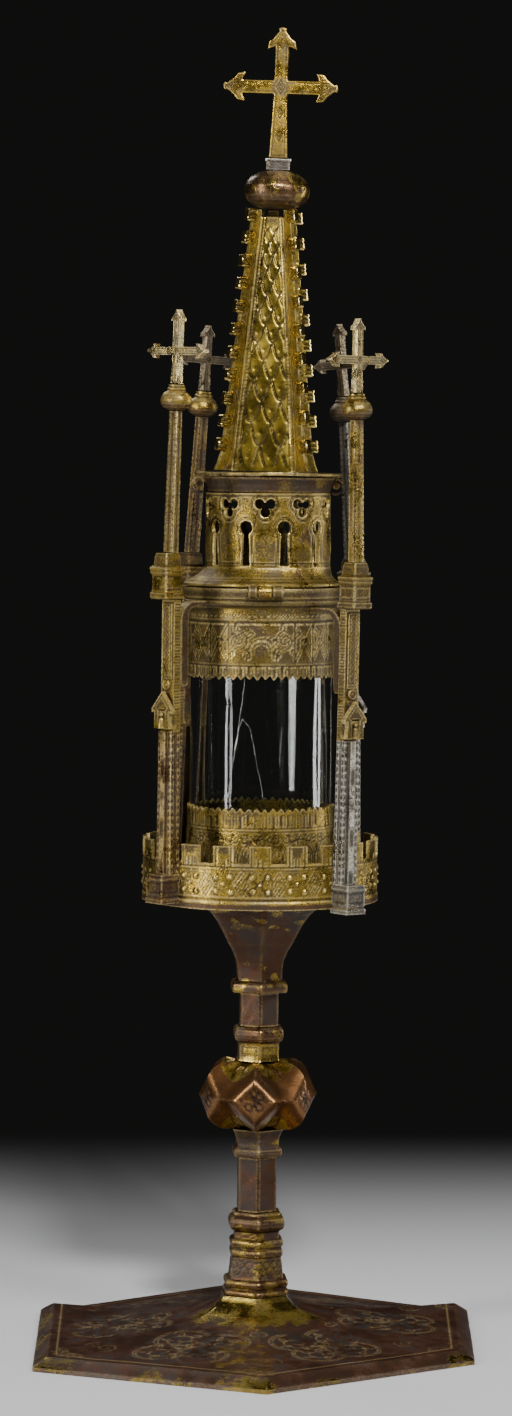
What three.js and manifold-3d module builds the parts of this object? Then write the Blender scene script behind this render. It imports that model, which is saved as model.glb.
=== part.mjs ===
// A gilt copper reliquary of the Gothic goldsmiths: hexagonal foot, knopped stem, crenellated gallery,
// a glass cylinder between two engraved mounts, four buttresses with pinnacles, and a hinged lid with
// a pierced lantern and a square crocketed spire. Millimetres, +Z up, the front faces -Y.
// Azimuths are degrees from the front, growing towards +X. The old work stands a little crooked, so
// each storey is a group of its own, set over by a small lean towards +X.

import * as THREE from 'three';
import { mergeVertices } from 'three/addons/utils/BufferGeometryUtils.js';
import Module from 'manifold-3d';

const wasm = await Module();
wasm.setup();

// Driving dimensions
const jointGap = 0.3;
const footRadius = 85.5;
const footTopRadius = 80;
const footTop = 15.6;
const footTurn = 3;
const knopTurn = -3.5;
const stemTurn = 4;
const stemShift = 0.5;
const stemLean = 0.66;
const shrineLean = -0.3;
const galleryRadius = 40.5;
const galleryWall = 1.4;
const galleryHeight = 21.4;
const merlonCount = 20;
const merlonDepth = 5.8;
const buttressRadius = 44;
const glassRadius = 24.3;
const glassWall = 2;
const mountRadius = 25.2;
const toothCount = 20;
const drumRadius = 26.8;
const lidLevel = 107.5;
const hingeForward = 29.4;
const hingeDrop = 1.5;
const knuckleRadius = 2.2;
const boreRadius = 1.15;
const pinRadius = 1;
const lanternRadius = 21.5;
const lanternWall = 1.2;
const lanternBays = 10;
const lanternShift = 2;
const crownLean = 0.6;
const plateRadius = 25.3;
const spireBase = 22.1;
const spireTip = 8;
const crestTip = 6.3;
const spireHeight = 87;
const spireTurn = -5.3;

// One entry for each corner of the shrine: how far it has sunk, its leans in degrees, how far inwards its
// pinnacle stands, and the radius at which its bracket leaves the drum
const corners = [
  {
    name: 'front_left', azimuth: -48.1, drop: 0, lean: 0.3, pinnacleLean: 1.4, inset: 1.8, root: 27.1,
    crossLean: 0, crossTurn: 6, crossUp: 14.2,
  },
  {
    name: 'front_right', azimuth: 41.9, drop: 2.8, lean: 1.1, pinnacleLean: -1.1, inset: 0.3, root: 25.6,
    crossLean: 0.5, crossTurn: 0, crossUp: 14.2,
  },
  {
    name: 'back_right', azimuth: 131.9, drop: 3, lean: -0.1, pinnacleLean: -2.9, inset: 1.7, root: 27.1,
    crossLean: -1, crossTurn: 0, crossUp: 14.6,
  },
  {
    name: 'back_left', azimuth: -138.1, drop: 1.2, lean: 1.9, pinnacleLean: 2.1, inset: 1.2, root: 27.1,
    crossLean: -0.5, crossTurn: 0, crossUp: 12.2,
  },
];
const crocketCounts = [11, 9, 10, 10];

const radians = THREE.MathUtils.degToRad;

const finishes = {
  copper: { color: 0x7a4a2e, roughness: 0.45, metalness: 0.9 },
  gilding: { color: 0xb8933f, roughness: 0.38, metalness: 0.95 },
  paleGilding: { color: 0xc9b37a, roughness: 0.4, metalness: 0.9 },
  darkCopper: { color: 0x4f3626, roughness: 0.5, metalness: 0.85 },
  glass: { color: 0xdfe8e6, roughness: 0.05, metalness: 0 },
};

// Solids

function solidOf(geometry) {
  const bare = geometry.clone();
  bare.deleteAttribute('normal');
  bare.deleteAttribute('uv');
  const merged = mergeVertices(bare, 1e-4);
  const index = merged.index.array;
  const kept = [];
  for (let i = 0; i < index.length; i += 3) {
    const [a, b, c] = [index[i], index[i + 1], index[i + 2]];
    if (a !== b && b !== c && c !== a) kept.push(a, b, c);
  }
  return new wasm.Manifold(new wasm.Mesh({
    numProp: 3,
    vertProperties: new Float32Array(merged.attributes.position.array),
    triVerts: new Uint32Array(kept),
  }));
}

function geometryOf(solid) {
  const mesh = solid.getMesh();
  const geometry = new THREE.BufferGeometry();
  geometry.setAttribute('position', new THREE.BufferAttribute(new Float32Array(mesh.vertProperties), 3));
  geometry.setIndex(new THREE.BufferAttribute(new Uint32Array(mesh.triVerts), 1));
  geometry.computeVertexNormals();
  return geometry;
}

function joined(...geometries) {
  return geometries.map(solidOf).reduce((whole, next) => whole.add(next));
}

function reshaped(geometry, move) {
  const points = geometry.attributes.position;
  const point = new THREE.Vector3();
  for (let i = 0; i < points.count; i += 1) {
    point.fromBufferAttribute(points, i);
    move(point);
    points.setXYZ(i, point.x, point.y, point.z);
  }
  return geometry;
}

// A turned or many-sided piece: the profile is [radius, height] pairs from its underside to its top
function turned(profile, sides, firstCorner = 0) {
  const points = profile.map(([radius, height]) => new THREE.Vector2(radius, height));
  return new THREE.LatheGeometry(points, sides, radians(firstCorner)).rotateX(Math.PI / 2);
}

// A four-sided piece standing on z = 0: each level is [height, width, depth]
function moulded(levels) {
  const steps = levels.length - 1;
  const box = new THREE.BoxGeometry(1, 1, 1, 1, 1, steps);
  return reshaped(box, (point) => {
    const [height, width, depth] = levels[Math.round((point.z + 0.5) * steps)];
    point.set(point.x * width, point.y * depth, height);
  });
}

function squareLevels(levels) {
  return moulded(levels.map(([height, side]) => [height, side, side]));
}

// A bar lying along X
function rod(radius, from, to, sides) {
  return new THREE.CylinderGeometry(radius, radius, to - from, sides)
    .rotateZ(Math.PI / 2)
    .translate((from + to) / 2, 0, 0);
}

// A flat outline in the XZ plane, given its thickness along Y about y = 0
function plate(shape, thickness) {
  return new THREE.ExtrudeGeometry(shape, { depth: thickness, bevelEnabled: false, curveSegments: 3 })
    .rotateX(Math.PI / 2)
    .translate(0, thickness / 2, 0);
}

function mesh(name, solid, finish, parent, place = [0, 0, 0]) {
  const piece = new THREE.Mesh(geometryOf(solid), new THREE.MeshStandardMaterial(finishes[finish]));
  piece.name = name;
  piece.position.set(...place);
  parent.add(piece);
  return piece;
}

function leaning(parent, place, lean = 0) {
  const group = new THREE.Group();
  group.position.set(...place);
  group.rotation.y = radians(lean);
  parent.add(group);
  return group;
}

// Foot: a raised sheet with a bevelled, turned-in rim and a concave flare up to the stem. Its six corners
// were never quite regular, and the back one is pressed down.

const footCorners = [[4.2, -86.4], [73.6, -42.8], [75.2, 37.5], [-5.6, 86.4], [-75.2, 38.2], [-73.1, -53.3]];
const pressedCorner = 3;

function settleFoot(point) {
  const radius = Math.hypot(point.x, point.y);
  const azimuth = THREE.MathUtils.radToDeg(Math.atan2(point.x, -point.y));
  const corner = (Math.round((azimuth - footTurn) / 60) + 6) % 6;
  const [x, y] = footCorners[corner];
  const share = THREE.MathUtils.smoothstep(radius, 20, 60);
  point.x = THREE.MathUtils.lerp(point.x, (x * radius) / footRadius, share);
  point.y = THREE.MathUtils.lerp(point.y, (y * radius) / footRadius, share);
  if (corner === pressedCorner) {
    point.z *= 1 - 0.5 * THREE.MathUtils.smoothstep(radius, 45, 80);
  }
}

function footSolid() {
  const sheet = 1.2;
  const turnIn = 4;
  const flare = [
    [60, 5], [42, 6], [30, 7.4], [24, 8.7], [19, 10.2], [15.4, 12.2], [13.2, 14.2], [12.4, footTop],
  ];
  const rimTop = [footTopRadius, 4.4];
  const underside = flare.filter((_, i) => i % 2 === 0 || i === flare.length - 1).reverse();
  const inside = underside.map(([radius, height]) => [radius - sheet * 0.5, height - sheet]);
  return solidOf(reshaped(turned([
    [0, footTop - sheet],
    ...inside,
    [footTopRadius - sheet * 0.6, rimTop[1] - sheet],
    [footRadius - sheet, 1],
    [footRadius - turnIn, 1],
    [footRadius - turnIn, 0],
    [footRadius, 0],
    [footRadius, 1.6],
    rimTop,
    ...flare,
    [0, footTop],
  ], 6, footTurn), settleFoot));
}

// Stem: hexagonal mouldings and shafts about a round knop with six lozenge bosses

const stemProfiles = {
  lower_collar: [
    [12.5, 0], [12.5, 1.3], [11.6, 2], [12.3, 2.9], [12.3, 4.7], [10.6, 5.8], [9.7, 12.7],
    [10.1, 13], [10.1, 15.1], [9.5, 15.8], [10.1, 16.4], [10.1, 18.5], [8.8, 18.9], [8.7, 21.6],
    [10.7, 23], [10.7, 25.2], [9.4, 26.5], [9.2, 27.9],
  ],
  lower_shaft: [[7.5, 0], [7.5, 18.3]],
  lower_cup: [[9.5, 0], [9.5, 3.5], [8.4, 3.9], [8.2, 4.8], [8.6, 6.8], [9.6, 8.7], [9.9, 9.5]],
  upper_cup: [[8.2, 0], [7.9, 1], [7.9, 6.4], [9.3, 7], [9.6, 8], [9.6, 10.8], [9, 11.6]],
  upper_shaft: [[7.5, 0], [7.5, 11.2]],
  calyx: [
    [10.4, 0], [10.9, 0.7], [10.9, 3], [10.2, 3.7], [8.8, 4], [9, 8], [9.8, 11.5],
    [13, 17], [15.4, 22], [18, 25.8], [23.2, 30.1], [23.8, 31.5],
  ],
};

function stemSolid(name) {
  const profile = stemProfiles[name];
  const top = profile[profile.length - 1][1];
  return solidOf(turned([[0, profile[0][1]], ...profile, [0, top]], 6, stemTurn));
}

function knopSolid() {
  const height = 22.8;
  const bodyRadius = 16.4;
  const boss = { out: 8.2, across: 9.2, up: 9.6, centre: 11.9 };
  const arc = [];
  const steps = 4;
  for (let i = 0; i <= steps; i += 1) {
    const angle = radians(-62 + (124 * i) / steps);
    const swell = Math.cos(angle);
    arc.push([bodyRadius * swell, height / 2 + (height / 2) * (Math.sin(angle) / Math.sin(radians(62)))]);
  }
  let knop = solidOf(turned([[0, 0], ...arc, [0, height]], 18, stemTurn));
  for (let i = 0; i < 6; i += 1) {
    const lozenge = new THREE.SphereGeometry(1, 8, 5)
      .scale(boss.across, boss.out, boss.up)
      .translate(0, -boss.centre, height / 2)
      .rotateZ(radians(knopTurn + 60 * i));
    knop = knop.add(solidOf(lozenge));
  }
  return knop;
}

// Gallery: a shallow round tray whose wall ends in merlons with rounded corners

function gallerySolid() {
  const floor = 1.6;
  const strip = 2.5;
  const proud = 0.3;
  const inner = galleryRadius - galleryWall;
  const tray = turned([
    [0, 0],
    [galleryRadius, 0],
    [galleryRadius, strip],
    [galleryRadius - proud, galleryHeight],
    [inner, galleryHeight],
    [inner, floor],
    [0, floor],
  ], merlonCount * 4);
  const pitch = 360 / merlonCount;
  const halfMerlon = 4.9;
  const cheek = 0.4;
  const offsets = [-halfMerlon - cheek, -halfMerlon, halfMerlon, halfMerlon + cheek];
  return solidOf(reshaped(tray, (point) => {
    const radius = Math.hypot(point.x, point.y);
    const step = Math.round((THREE.MathUtils.radToDeg(Math.atan2(point.x, -point.y)) / pitch) * 4);
    const turn = ((step % 4) + 4) % 4;
    const azimuth = radians(((step - turn) / 4) * pitch + offsets[turn]);
    const low = turn === 0 || turn === 3;
    const height = low && point.z > galleryHeight - 0.1 ? galleryHeight - merlonDepth : point.z;
    point.set(radius * Math.sin(azimuth), -radius * Math.cos(azimuth), height);
  }));
}

// Mounts: engraved bands about the glass, each with a row of pointed teeth along its free edge

function toothed(profile, edge, rise) {
  const band = turned(profile, toothCount * 2);
  return reshaped(band, (point) => {
    const step = Math.round((Math.atan2(point.x, -point.y) / Math.PI) * toothCount);
    if (Math.abs(point.z - edge) < 0.1 && step % 2 !== 0) point.z += rise;
  });
}

function lowerMountSolid() {
  const height = 31.1;
  const floor = 0.8;
  const inner = glassRadius + jointGap;
  return solidOf(toothed([
    [0, 0], [mountRadius + 0.4, 0], [mountRadius, height], [inner, height], [inner, floor], [0, floor],
  ], height, -2.2));
}

function glassSolid(height) {
  const inner = glassRadius - glassWall;
  return solidOf(turned([
    [inner, 0], [glassRadius, 0], [glassRadius, height], [inner, height], [inner, 0],
  ], 30));
}

const hingeSpans = { left: [-4.6, -1.55], middle: [-1.25, 3.35], right: [3.65, 7.2] };

function knuckle([from, to]) {
  return solidOf(rod(knuckleRadius, from, to, 10)).subtract(solidOf(rod(boreRadius, from - 1, to + 1, 8)));
}

function upperMountSolid(drumTop, hingeHeight) {
  const inner = glassRadius + jointGap;
  const mouth = 22.6;
  const drumFoot = drumTop - 5.4;
  let mount = solidOf(toothed([
    [inner, 0], [mountRadius, 0], [mountRadius, drumFoot - 1], [drumRadius, drumFoot],
    [drumRadius, drumTop], [mouth, drumTop], [mouth, drumFoot - 0.6], [inner, drumFoot - 0.6], [inner, 0],
  ], 0, 2.2));
  for (const side of ['left', 'right']) {
    const [from, to] = hingeSpans[side];
    const leaf = new THREE.BoxGeometry(to - from, 4.4, 1.2)
      .translate((from + to) / 2, -hingeForward + 2.5, hingeHeight - knuckleRadius + 0.6);
    const trimmed = solidOf(leaf).subtract(solidOf(rod(boreRadius, from - 1, to + 1, 8)
      .translate(0, -hingeForward, hingeHeight)));
    const barrel = knuckle(hingeSpans[side]).translate([0, -hingeForward, hingeHeight]);
    const clearOfMouth = solidOf(turned([[0, 0], [mouth, 0], [mouth, drumTop + 1], [0, drumTop + 1]], 24));
    mount = mount.add(trimmed.subtract(clearOfMouth)).add(barrel);
  }
  return mount;
}

// Buttress: moulded plinth, ribbed pier hollowed at its back, gabled canopy with a roundel, upper stage

function buttressSolid(cutTop) {
  const pierIn = 2;
  const plinth = squareLevels([[0, 8.2], [1.2, 8.6], [2, 7.6], [3, 8], [7.4, 7.8], [8.2, 8.6], [9.7, 7.4]]);
  const pier = moulded([[9.6, 7.3, 4.4], [57.8, 6.8, 4.1]]).translate(0, pierIn, 0);
  const rib = moulded([[9.6, 2.4, 3], [57.8, 2.2, 3]]).translate(0, 0.5, 0);
  const stage = moulded([[57.7, 6.6, 3], [101.9, 6.4, 3]]).translate(0, 2.5, 0);
  const gable = new THREE.Shape();
  gable.moveTo(-3.8, 58.6);
  gable.lineTo(3.8, 58.6);
  gable.lineTo(3.8, 65.4);
  gable.lineTo(0, 70.4);
  gable.lineTo(-3.8, 65.4);
  const canopy = plate(gable, 4).translate(0, 0.4, 0);
  const roundel = new THREE.CylinderGeometry(1.8, 1.8, 1.2, 8).translate(0, 0.6, 73.4);
  const niche = moulded([[57.5, 3.6, 2], [64, 3.6, 2]]).translate(0, -1.4, 0);
  const recess = new THREE.Shape();
  recess.moveTo(-1.8, 11);
  recess.lineTo(1.8, 11);
  recess.lineTo(1.8, 61.5);
  recess.absarc(0, 61.5, 1.8, 0, Math.PI, false);
  const hollow = plate(recess, 3).translate(0, pierIn + 2.2, 0);
  const bore = turned([[0, -1], [galleryRadius + 0.8, -1], [galleryRadius + 0.8, cutTop], [0, cutTop]], 60)
    .translate(0, buttressRadius, 0);
  return joined(plinth, pier, rib, stage, canopy)
    .subtract(solidOf(niche))
    .add(solidOf(roundel))
    .subtract(solidOf(hollow))
    .subtract(solidOf(bore));
}

function capitalSolid() {
  return solidOf(squareLevels([
    [0, 7.6], [0.6, 8.6], [2, 8.6], [2.8, 7.6], [8, 7.6],
    [9, 8.6], [10.6, 8.8], [11.4, 6.8], [14.2, 6.4], [15.4, 5.6],
  ]));
}

function shaftSolid(height) {
  return solidOf(moulded([[0, 4.9, 2.9], [height, 4.1, 2.3]]));
}

function pinnacleBallSolid() {
  return solidOf(turned([
    [0, 0], [2.6, 0], [4.4, 1], [5.45, 3.2], [4.3, 5.8], [3.2, 6.8], [2.7, 8.6], [0, 8.6],
  ], 10));
}

// A cross whose arms end in pointed leaves with ears; bar, ear and foot are half widths
function crossShape({ reach, up, down, bar, foot, leaf, ear }) {
  const half = (length) => [
    [bar, length - leaf * 0.84],
    [ear, length - leaf],
    [ear * 0.9, length - leaf * 0.62],
    [ear * 0.62, length - leaf * 0.5],
    [ear * 0.22, length - leaf * 0.17],
    [ear * 0.3, length - leaf * 0.06],
  ];
  const arm = (length) => {
    const right = half(length);
    const left = right.map(([across, along]) => [-across, along]);
    return [[-bar, bar], ...left, [0, length], ...right.reverse()];
  };
  const outline = [
    ...arm(up),
    ...arm(reach).map(([across, along]) => [along, -across]),
    [bar, -bar],
    [foot, -down],
    [-foot, -down],
    ...arm(reach).map(([across, along]) => [-along, across]),
  ];
  return new THREE.Shape(outline.map(([x, z]) => new THREE.Vector2(x, z)));
}

function crossSolid(size, thickness) {
  return solidOf(plate(crossShape(size), thickness));
}

// Bracket: an arched bar from the drum down the inner side of a pier
function bracketSolid(root, reach) {
  const [top, foot, arm, leg, bend] = [0, -28.7, 2.2, 3.6, 6.4];
  const shape = new THREE.Shape();
  shape.moveTo(root, top - arm);
  shape.lineTo(reach - leg - 3, top - arm);
  shape.absarc(reach - leg - 3, top - arm - 3, 3, Math.PI / 2, 0, true);
  shape.lineTo(reach - leg, foot + 1);
  shape.lineTo(reach - leg + 1, foot);
  shape.lineTo(reach - 1, foot);
  shape.lineTo(reach, foot + 1);
  shape.lineTo(reach, top - bend);
  shape.absarc(reach - bend, top - bend, bend, 0, Math.PI / 2, false);
  shape.lineTo(root, top);
  return solidOf(plate(shape, 4).rotateZ(-Math.PI / 2));
}

// Lid: flange, conical skirt and pierced lantern in one, with the middle knuckle of the hinge

function lanternSolid() {
  const flange = 1.2;
  const sill = 6.2;
  const top = 31.7;
  const inner = lanternRadius - lanternWall;
  const shell = reshaped(turned([
    [0, top - 1.1], [inner, top - 1.1], [inner, sill], [22.6, flange],
    [22.6, 0], [drumRadius, 0], [drumRadius, flange],
    [24.2, 2.6], [lanternRadius, sill], [lanternRadius, top], [0, top],
  ], 30), (point) => {
    point.x += lanternShift * THREE.MathUtils.clamp((point.z - flange) / (sill - flange), 0, 1);
  });
  let lantern = solidOf(shell);
  const bay = 360 / lanternBays;
  const through = 8;
  const drill = (radius, across, height, sides) => new THREE.CylinderGeometry(radius, radius, through, sides)
    .translate(across, -lanternRadius, height);
  for (let i = 0; i < lanternBays; i += 1) {
    const trefoil = joined(drill(1.95, -1.45, 28, 6), drill(1.95, 1.45, 28, 6), drill(1.95, 0, 25.7, 6));
    const slot = new THREE.BoxGeometry(2.6, through, 12.6).translate(0, -lanternRadius, 13.5);
    const keyhole = joined(drill(2.4, 0, 20, 6), slot);
    const turn = i * bay - 3;
    lantern = lantern.subtract(trefoil.rotate([0, 0, turn]).translate([lanternShift, 0, 0]));
    lantern = lantern.subtract(keyhole.rotate([0, 0, turn + bay / 2]).translate([lanternShift, 0, 0]));
  }
  const [from, to] = hingeSpans.middle;
  const leaf = new THREE.BoxGeometry(to - from, 6, 0.7).translate((from + to) / 2, -hingeForward + 3, 0.35);
  const bore = solidOf(rod(boreRadius, from - 1, to + 1, 8).translate(0, -hingeForward, -hingeDrop));
  const barrel = knuckle(hingeSpans.middle).translate([0, -hingeForward, -hingeDrop]);
  return lantern.add(solidOf(leaf).subtract(bore)).add(barrel);
}

// Collar above the lantern, with a rolled strip at each side
function collarSolid() {
  let collar = solidOf(turned([[0, 0], [21, 0], [21.2, 1], [22.8, 5.2], [0, 5.2]], 30));
  const roll = 2.65;
  const ring = new THREE.Shape();
  ring.absarc(0, 0, roll, -Math.PI * 0.7, Math.PI * 1.05, false);
  ring.absarc(0, 0, roll - 0.9, Math.PI * 1.05, -Math.PI * 0.7, true);
  for (const [turn, centre] of [[Math.PI, -24.2], [0, 22.9]]) {
    collar = collar.add(solidOf(plate(ring, 5).rotateZ(turn).translate(centre, 0, 2.6)));
  }
  return collar;
}

// Spire: a square pyramid, with a crocketed rib standing on each of its corners

function spireSolid() {
  const neck = 3.2;
  return solidOf(squareLevels([
    [0, spireBase], [spireHeight, spireTip], [spireHeight + 0.8, neck], [spireHeight + 2.4, neck],
  ]));
}

function ribSolid(crockets) {
  const height = 89.6;
  const cornerAt = (level) => (spireBase + ((spireTip - spireBase) * level) / spireHeight) * Math.SQRT1_2;
  const crestAt = (level) => (spireBase + ((crestTip - spireBase) * level) / spireHeight) * Math.SQRT1_2;
  const edgeAt = (level) => crestAt(level) + 5.3 + 2.1 * Math.max(0, 1 - level / 9) ** 2;
  const tab = 4;
  const proud = 2.2;
  const first = 7;
  const pitch = (height - first - tab) / (crockets - 1);
  const shape = new THREE.Shape();
  shape.moveTo(cornerAt(0) + jointGap, 0);
  shape.lineTo(edgeAt(0), 0);
  shape.lineTo(edgeAt(3), 3);
  for (let i = 0; i < crockets; i += 1) {
    const foot = first + i * pitch;
    shape.lineTo(edgeAt(foot), foot);
    shape.lineTo(edgeAt(foot) + proud, foot);
    shape.lineTo(edgeAt(foot + tab) + proud, foot + tab);
    shape.lineTo(edgeAt(foot + tab), foot + tab);
  }
  shape.lineTo(cornerAt(height) + jointGap, height);
  return solidOf(plate(shape, 1.4));
}

function finialBallSolid() {
  return solidOf(turned([
    [0, 0], [4.2, 0], [8.4, 1.5], [10.9, 4.4], [11.25, 6.8], [10.3, 9.6], [8, 11.7], [4.6, 13.2], [0, 13.2],
  ], 16));
}

function socketSolid() {
  return solidOf(squareLevels([[0, 8], [2.6, 8], [2.9, 8.8], [3.8, 8.8]]));
}

// Assembly

const reliquary = new THREE.Group();
mesh('foot', footSolid(), 'copper', reliquary);

const stem = leaning(reliquary, [stemShift, 0, footTop + jointGap], stemLean);
const stemOrder = ['lower_collar', 'lower_shaft', 'lower_cup', 'knop', 'upper_cup', 'upper_shaft', 'calyx'];
let level = 0;
for (const name of stemOrder) {
  const solid = name === 'knop' ? knopSolid() : stemSolid(name);
  mesh(name, solid, name === 'calyx' ? 'gilding' : 'copper', stem, [0, 0, level]);
  level += solid.boundingBox().max[2] + jointGap;
}

const shrine = leaning(stem, [0, 0, level], shrineLean);
mesh('gallery', gallerySolid(), 'gilding', shrine);
const floorTop = 1.6;
const lowerMountFoot = floorTop + jointGap;
mesh('lower_mount', lowerMountSolid(), 'gilding', shrine, [0, 0, lowerMountFoot]);
const glassFoot = lowerMountFoot + 0.8 + jointGap;
const drumTop = lidLevel - 0.5;
const upperMountFoot = 76;
const glassHeight = drumTop - 6 - jointGap - glassFoot;
mesh('glass_cylinder', glassSolid(glassHeight), 'glass', shrine, [0, 0, glassFoot]);
const hingeHeight = lidLevel - hingeDrop;
const upperMount = upperMountSolid(drumTop - upperMountFoot, hingeHeight - upperMountFoot);
mesh('upper_mount', upperMount, 'gilding', shrine, [0, 0, upperMountFoot]);
const pin = solidOf(rod(pinRadius, hingeSpans.left[0] - 0.6, hingeSpans.right[1] + 0.6, 8));
mesh('hinge_pin', pin, 'darkCopper', shrine, [0, -hingeForward, hingeHeight]);

// The four corners: each storey of a buttress stands on the one below and adds its own lean
const plinthFoot = 1.4;
const capitalFoot = 102.2;
const shaftHeight = 47.5;
const smallCross = { reach: 13.4, down: 11.1, bar: 1.55, foot: 1.9, leaf: 4.6, ear: 2.7 };
for (const corner of corners) {
  const azimuth = radians(corner.azimuth);
  const [footX, footY] = [buttressRadius * Math.sin(azimuth), -buttressRadius * Math.cos(azimuth)];
  const foot = [footX, footY, plinthFoot - corner.drop];
  const lower = leaning(shrine, foot, corner.lean);
  const turn = (group, name, solid, finish, inward, height) => {
    const place = [-inward * Math.sin(azimuth), inward * Math.cos(azimuth), height];
    mesh(name, solid, finish, group, place).rotation.z = azimuth;
  };
  const cutTop = galleryHeight + jointGap - plinthFoot + corner.drop;
  turn(lower, `buttress_${corner.name}`, buttressSolid(cutTop), 'gilding', 0, 0);
  turn(lower, `capital_${corner.name}`, capitalSolid(), 'gilding', 0.4, capitalFoot);

  const upper = leaning(lower, [0, 0, capitalFoot + 15.7], corner.pinnacleLean);
  turn(upper, `pinnacle_shaft_${corner.name}`, shaftSolid(shaftHeight), 'darkCopper', corner.inset, 0);
  const ballFoot = shaftHeight + jointGap;
  turn(upper, `pinnacle_ball_${corner.name}`, pinnacleBallSolid(), 'gilding', corner.inset, ballFoot);

  const summit = leaning(upper, [0, 0, shaftHeight + 9.2], corner.crossLean);
  const cross = crossSolid({ ...smallCross, up: corner.crossUp }, 2.6)
    .rotate([0, 0, corner.crossTurn]);
  turn(summit, `pinnacle_cross_${corner.name}`, cross, 'paleGilding', corner.inset, smallCross.down);

  const sideways = foot[0] + capitalFoot * Math.tan(radians(corner.lean));
  const headRadius = Math.hypot(sideways, foot[1]);
  const bracket = bracketSolid(corner.root, headRadius - 5);
  const bracketTop = 102.8 - corner.drop * 0.75;
  mesh(`bracket_${corner.name}`, bracket, 'darkCopper', shrine, [0, 0, bracketTop])
    .rotation.z = Math.atan2(sideways, -foot[1]);
}

const lid = leaning(shrine, [0, 0, lidLevel]);
mesh('lid_lantern', lanternSolid(), 'gilding', lid);
const crown = leaning(lid, [lanternShift, 0, 32], crownLean);
mesh('lid_collar', collarSolid(), 'darkCopper', crown, [0.3, 0, 0]);
const lidPlate = solidOf(turned([[0, 0], [plateRadius, 0], [plateRadius, 1.3], [0, 1.3]], 32));
mesh('lid_plate', lidPlate, 'gilding', crown, [0.2, 0, 5.5]);
const spire = leaning(crown, [-0.8, 0, 7.1], 0.7);
mesh('spire', spireSolid(), 'gilding', spire).rotation.z = radians(spireTurn);
crocketCounts.forEach((count, i) => {
  const rib = mesh(`spire_rib_${i + 1}`, ribSolid(count), 'gilding', spire);
  rib.rotation.z = radians(spireTurn - 135 + 90 * i);
});
const finial = leaning(spire, [0.8, 0, 89.9], 0.6);
mesh('finial_ball', finialBallSolid(), 'gilding', finial);
mesh('finial_socket', socketSolid(), 'paleGilding', finial, [0, 0, 13.5]);
const greatCross = { reach: 19.9, up: 20.7, down: 24.4, bar: 2.35, foot: 3.2, leaf: 7.9, ear: 5.1 };
const crossLevel = 17.6 + greatCross.down;
const finialCross = mesh('finial_cross', crossSolid(greatCross, 3), 'gilding', finial, [0, 0, crossLevel]);
finialCross.rotation.z = radians(-6);

export default reliquary;
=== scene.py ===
import math
import bmesh
import bpy
import numpy as np
from mathutils import Matrix, Vector, noise


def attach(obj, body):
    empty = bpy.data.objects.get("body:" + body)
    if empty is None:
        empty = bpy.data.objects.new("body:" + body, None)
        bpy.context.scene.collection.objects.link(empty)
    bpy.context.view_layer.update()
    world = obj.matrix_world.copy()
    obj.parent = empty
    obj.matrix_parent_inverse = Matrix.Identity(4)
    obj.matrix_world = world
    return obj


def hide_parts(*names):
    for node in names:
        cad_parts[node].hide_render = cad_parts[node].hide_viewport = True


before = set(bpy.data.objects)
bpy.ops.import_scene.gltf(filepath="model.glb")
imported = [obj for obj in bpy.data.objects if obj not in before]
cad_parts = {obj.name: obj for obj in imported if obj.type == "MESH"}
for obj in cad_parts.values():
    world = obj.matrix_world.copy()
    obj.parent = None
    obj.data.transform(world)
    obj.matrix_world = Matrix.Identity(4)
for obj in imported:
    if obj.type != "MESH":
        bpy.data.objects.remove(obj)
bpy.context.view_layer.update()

fullTurn = 2 * math.pi
halfDiagonal = 0.7071
millimetre = 0.001
farOff = 9.0

# The storeys of the tower, in millimetres and degrees, as the solids stand
tower = {
    'footTop': 15.6,
    'stemShift': 0.5,
    'stemLean': 0.66,
    'shrineLevel': 134.9,
    'shrineLean': -0.3,
    'lidLevel': 107.5,
    'lanternShift': 2.0,
    'crownLevel': 32.0,
    'crownLean': 0.6,
    'spireLean': 0.7,
    'spireTurn': -5.3,
    'finialLean': 0.6,
    'hexTurn': 4.0,
    'knopTurn': -3.5,
    'buttressRadius': 44.0,
}
corners = [
    {'name': 'front_left', 'azimuth': -48.1, 'drop': 0.0, 'lean': 0.3, 'pinnacle': 1.4, 'cross': 0.0,
     'crossTurn': 6, 'crossUp': 14.2, 'inset': 1.8, 'root': 27.1},
    {'name': 'front_right', 'azimuth': 41.9, 'drop': 2.8, 'lean': 1.1, 'pinnacle': -1.1, 'cross': 0.5,
     'crossTurn': 0, 'crossUp': 14.2, 'inset': 0.3, 'root': 25.6},
    {'name': 'back_right', 'azimuth': 131.9, 'drop': 3.0, 'lean': -0.1, 'pinnacle': -2.9, 'cross': -1.0,
     'crossTurn': 0, 'crossUp': 14.6, 'inset': 1.7, 'root': 27.1},
    {'name': 'back_left', 'azimuth': -138.1, 'drop': 1.2, 'lean': 1.9, 'pinnacle': 2.1, 'cross': -0.5,
     'crossTurn': 0, 'crossUp': 12.2, 'inset': 1.2, 'root': 27.1},
]


def storey(parent, place, lean=0.0, turn=0.0):
    matrix = parent @ Matrix.Translation(Vector(place))
    return (matrix @ Matrix.Rotation(math.radians(lean), 4, 'Y')
            @ Matrix.Rotation(math.radians(turn), 4, 'Z'))


ground = Matrix.Identity(4)
stemFrame = storey(ground, (tower['stemShift'], 0, tower['footTop'] + 0.3), tower['stemLean'])
shrineFrame = storey(stemFrame, (0, 0, tower['shrineLevel']), tower['shrineLean'])
lidFrame = storey(shrineFrame, (0, 0, tower['lidLevel']))
crownFrame = storey(lidFrame, (tower['lanternShift'], 0, tower['crownLevel']), tower['crownLean'])
spireFrame = storey(crownFrame, (-0.8, 0, 7.1), tower['spireLean'])
finialFrame = storey(spireFrame, (0.8, 0, 89.9), tower['finialLean'])


# Mesh helpers

def readPoints(bm):
    return np.array([vert.co[:] for vert in bm.verts])


def movePoints(bm, points):
    for vert, point in zip(bm.verts, points):
        vert.co = point


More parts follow.
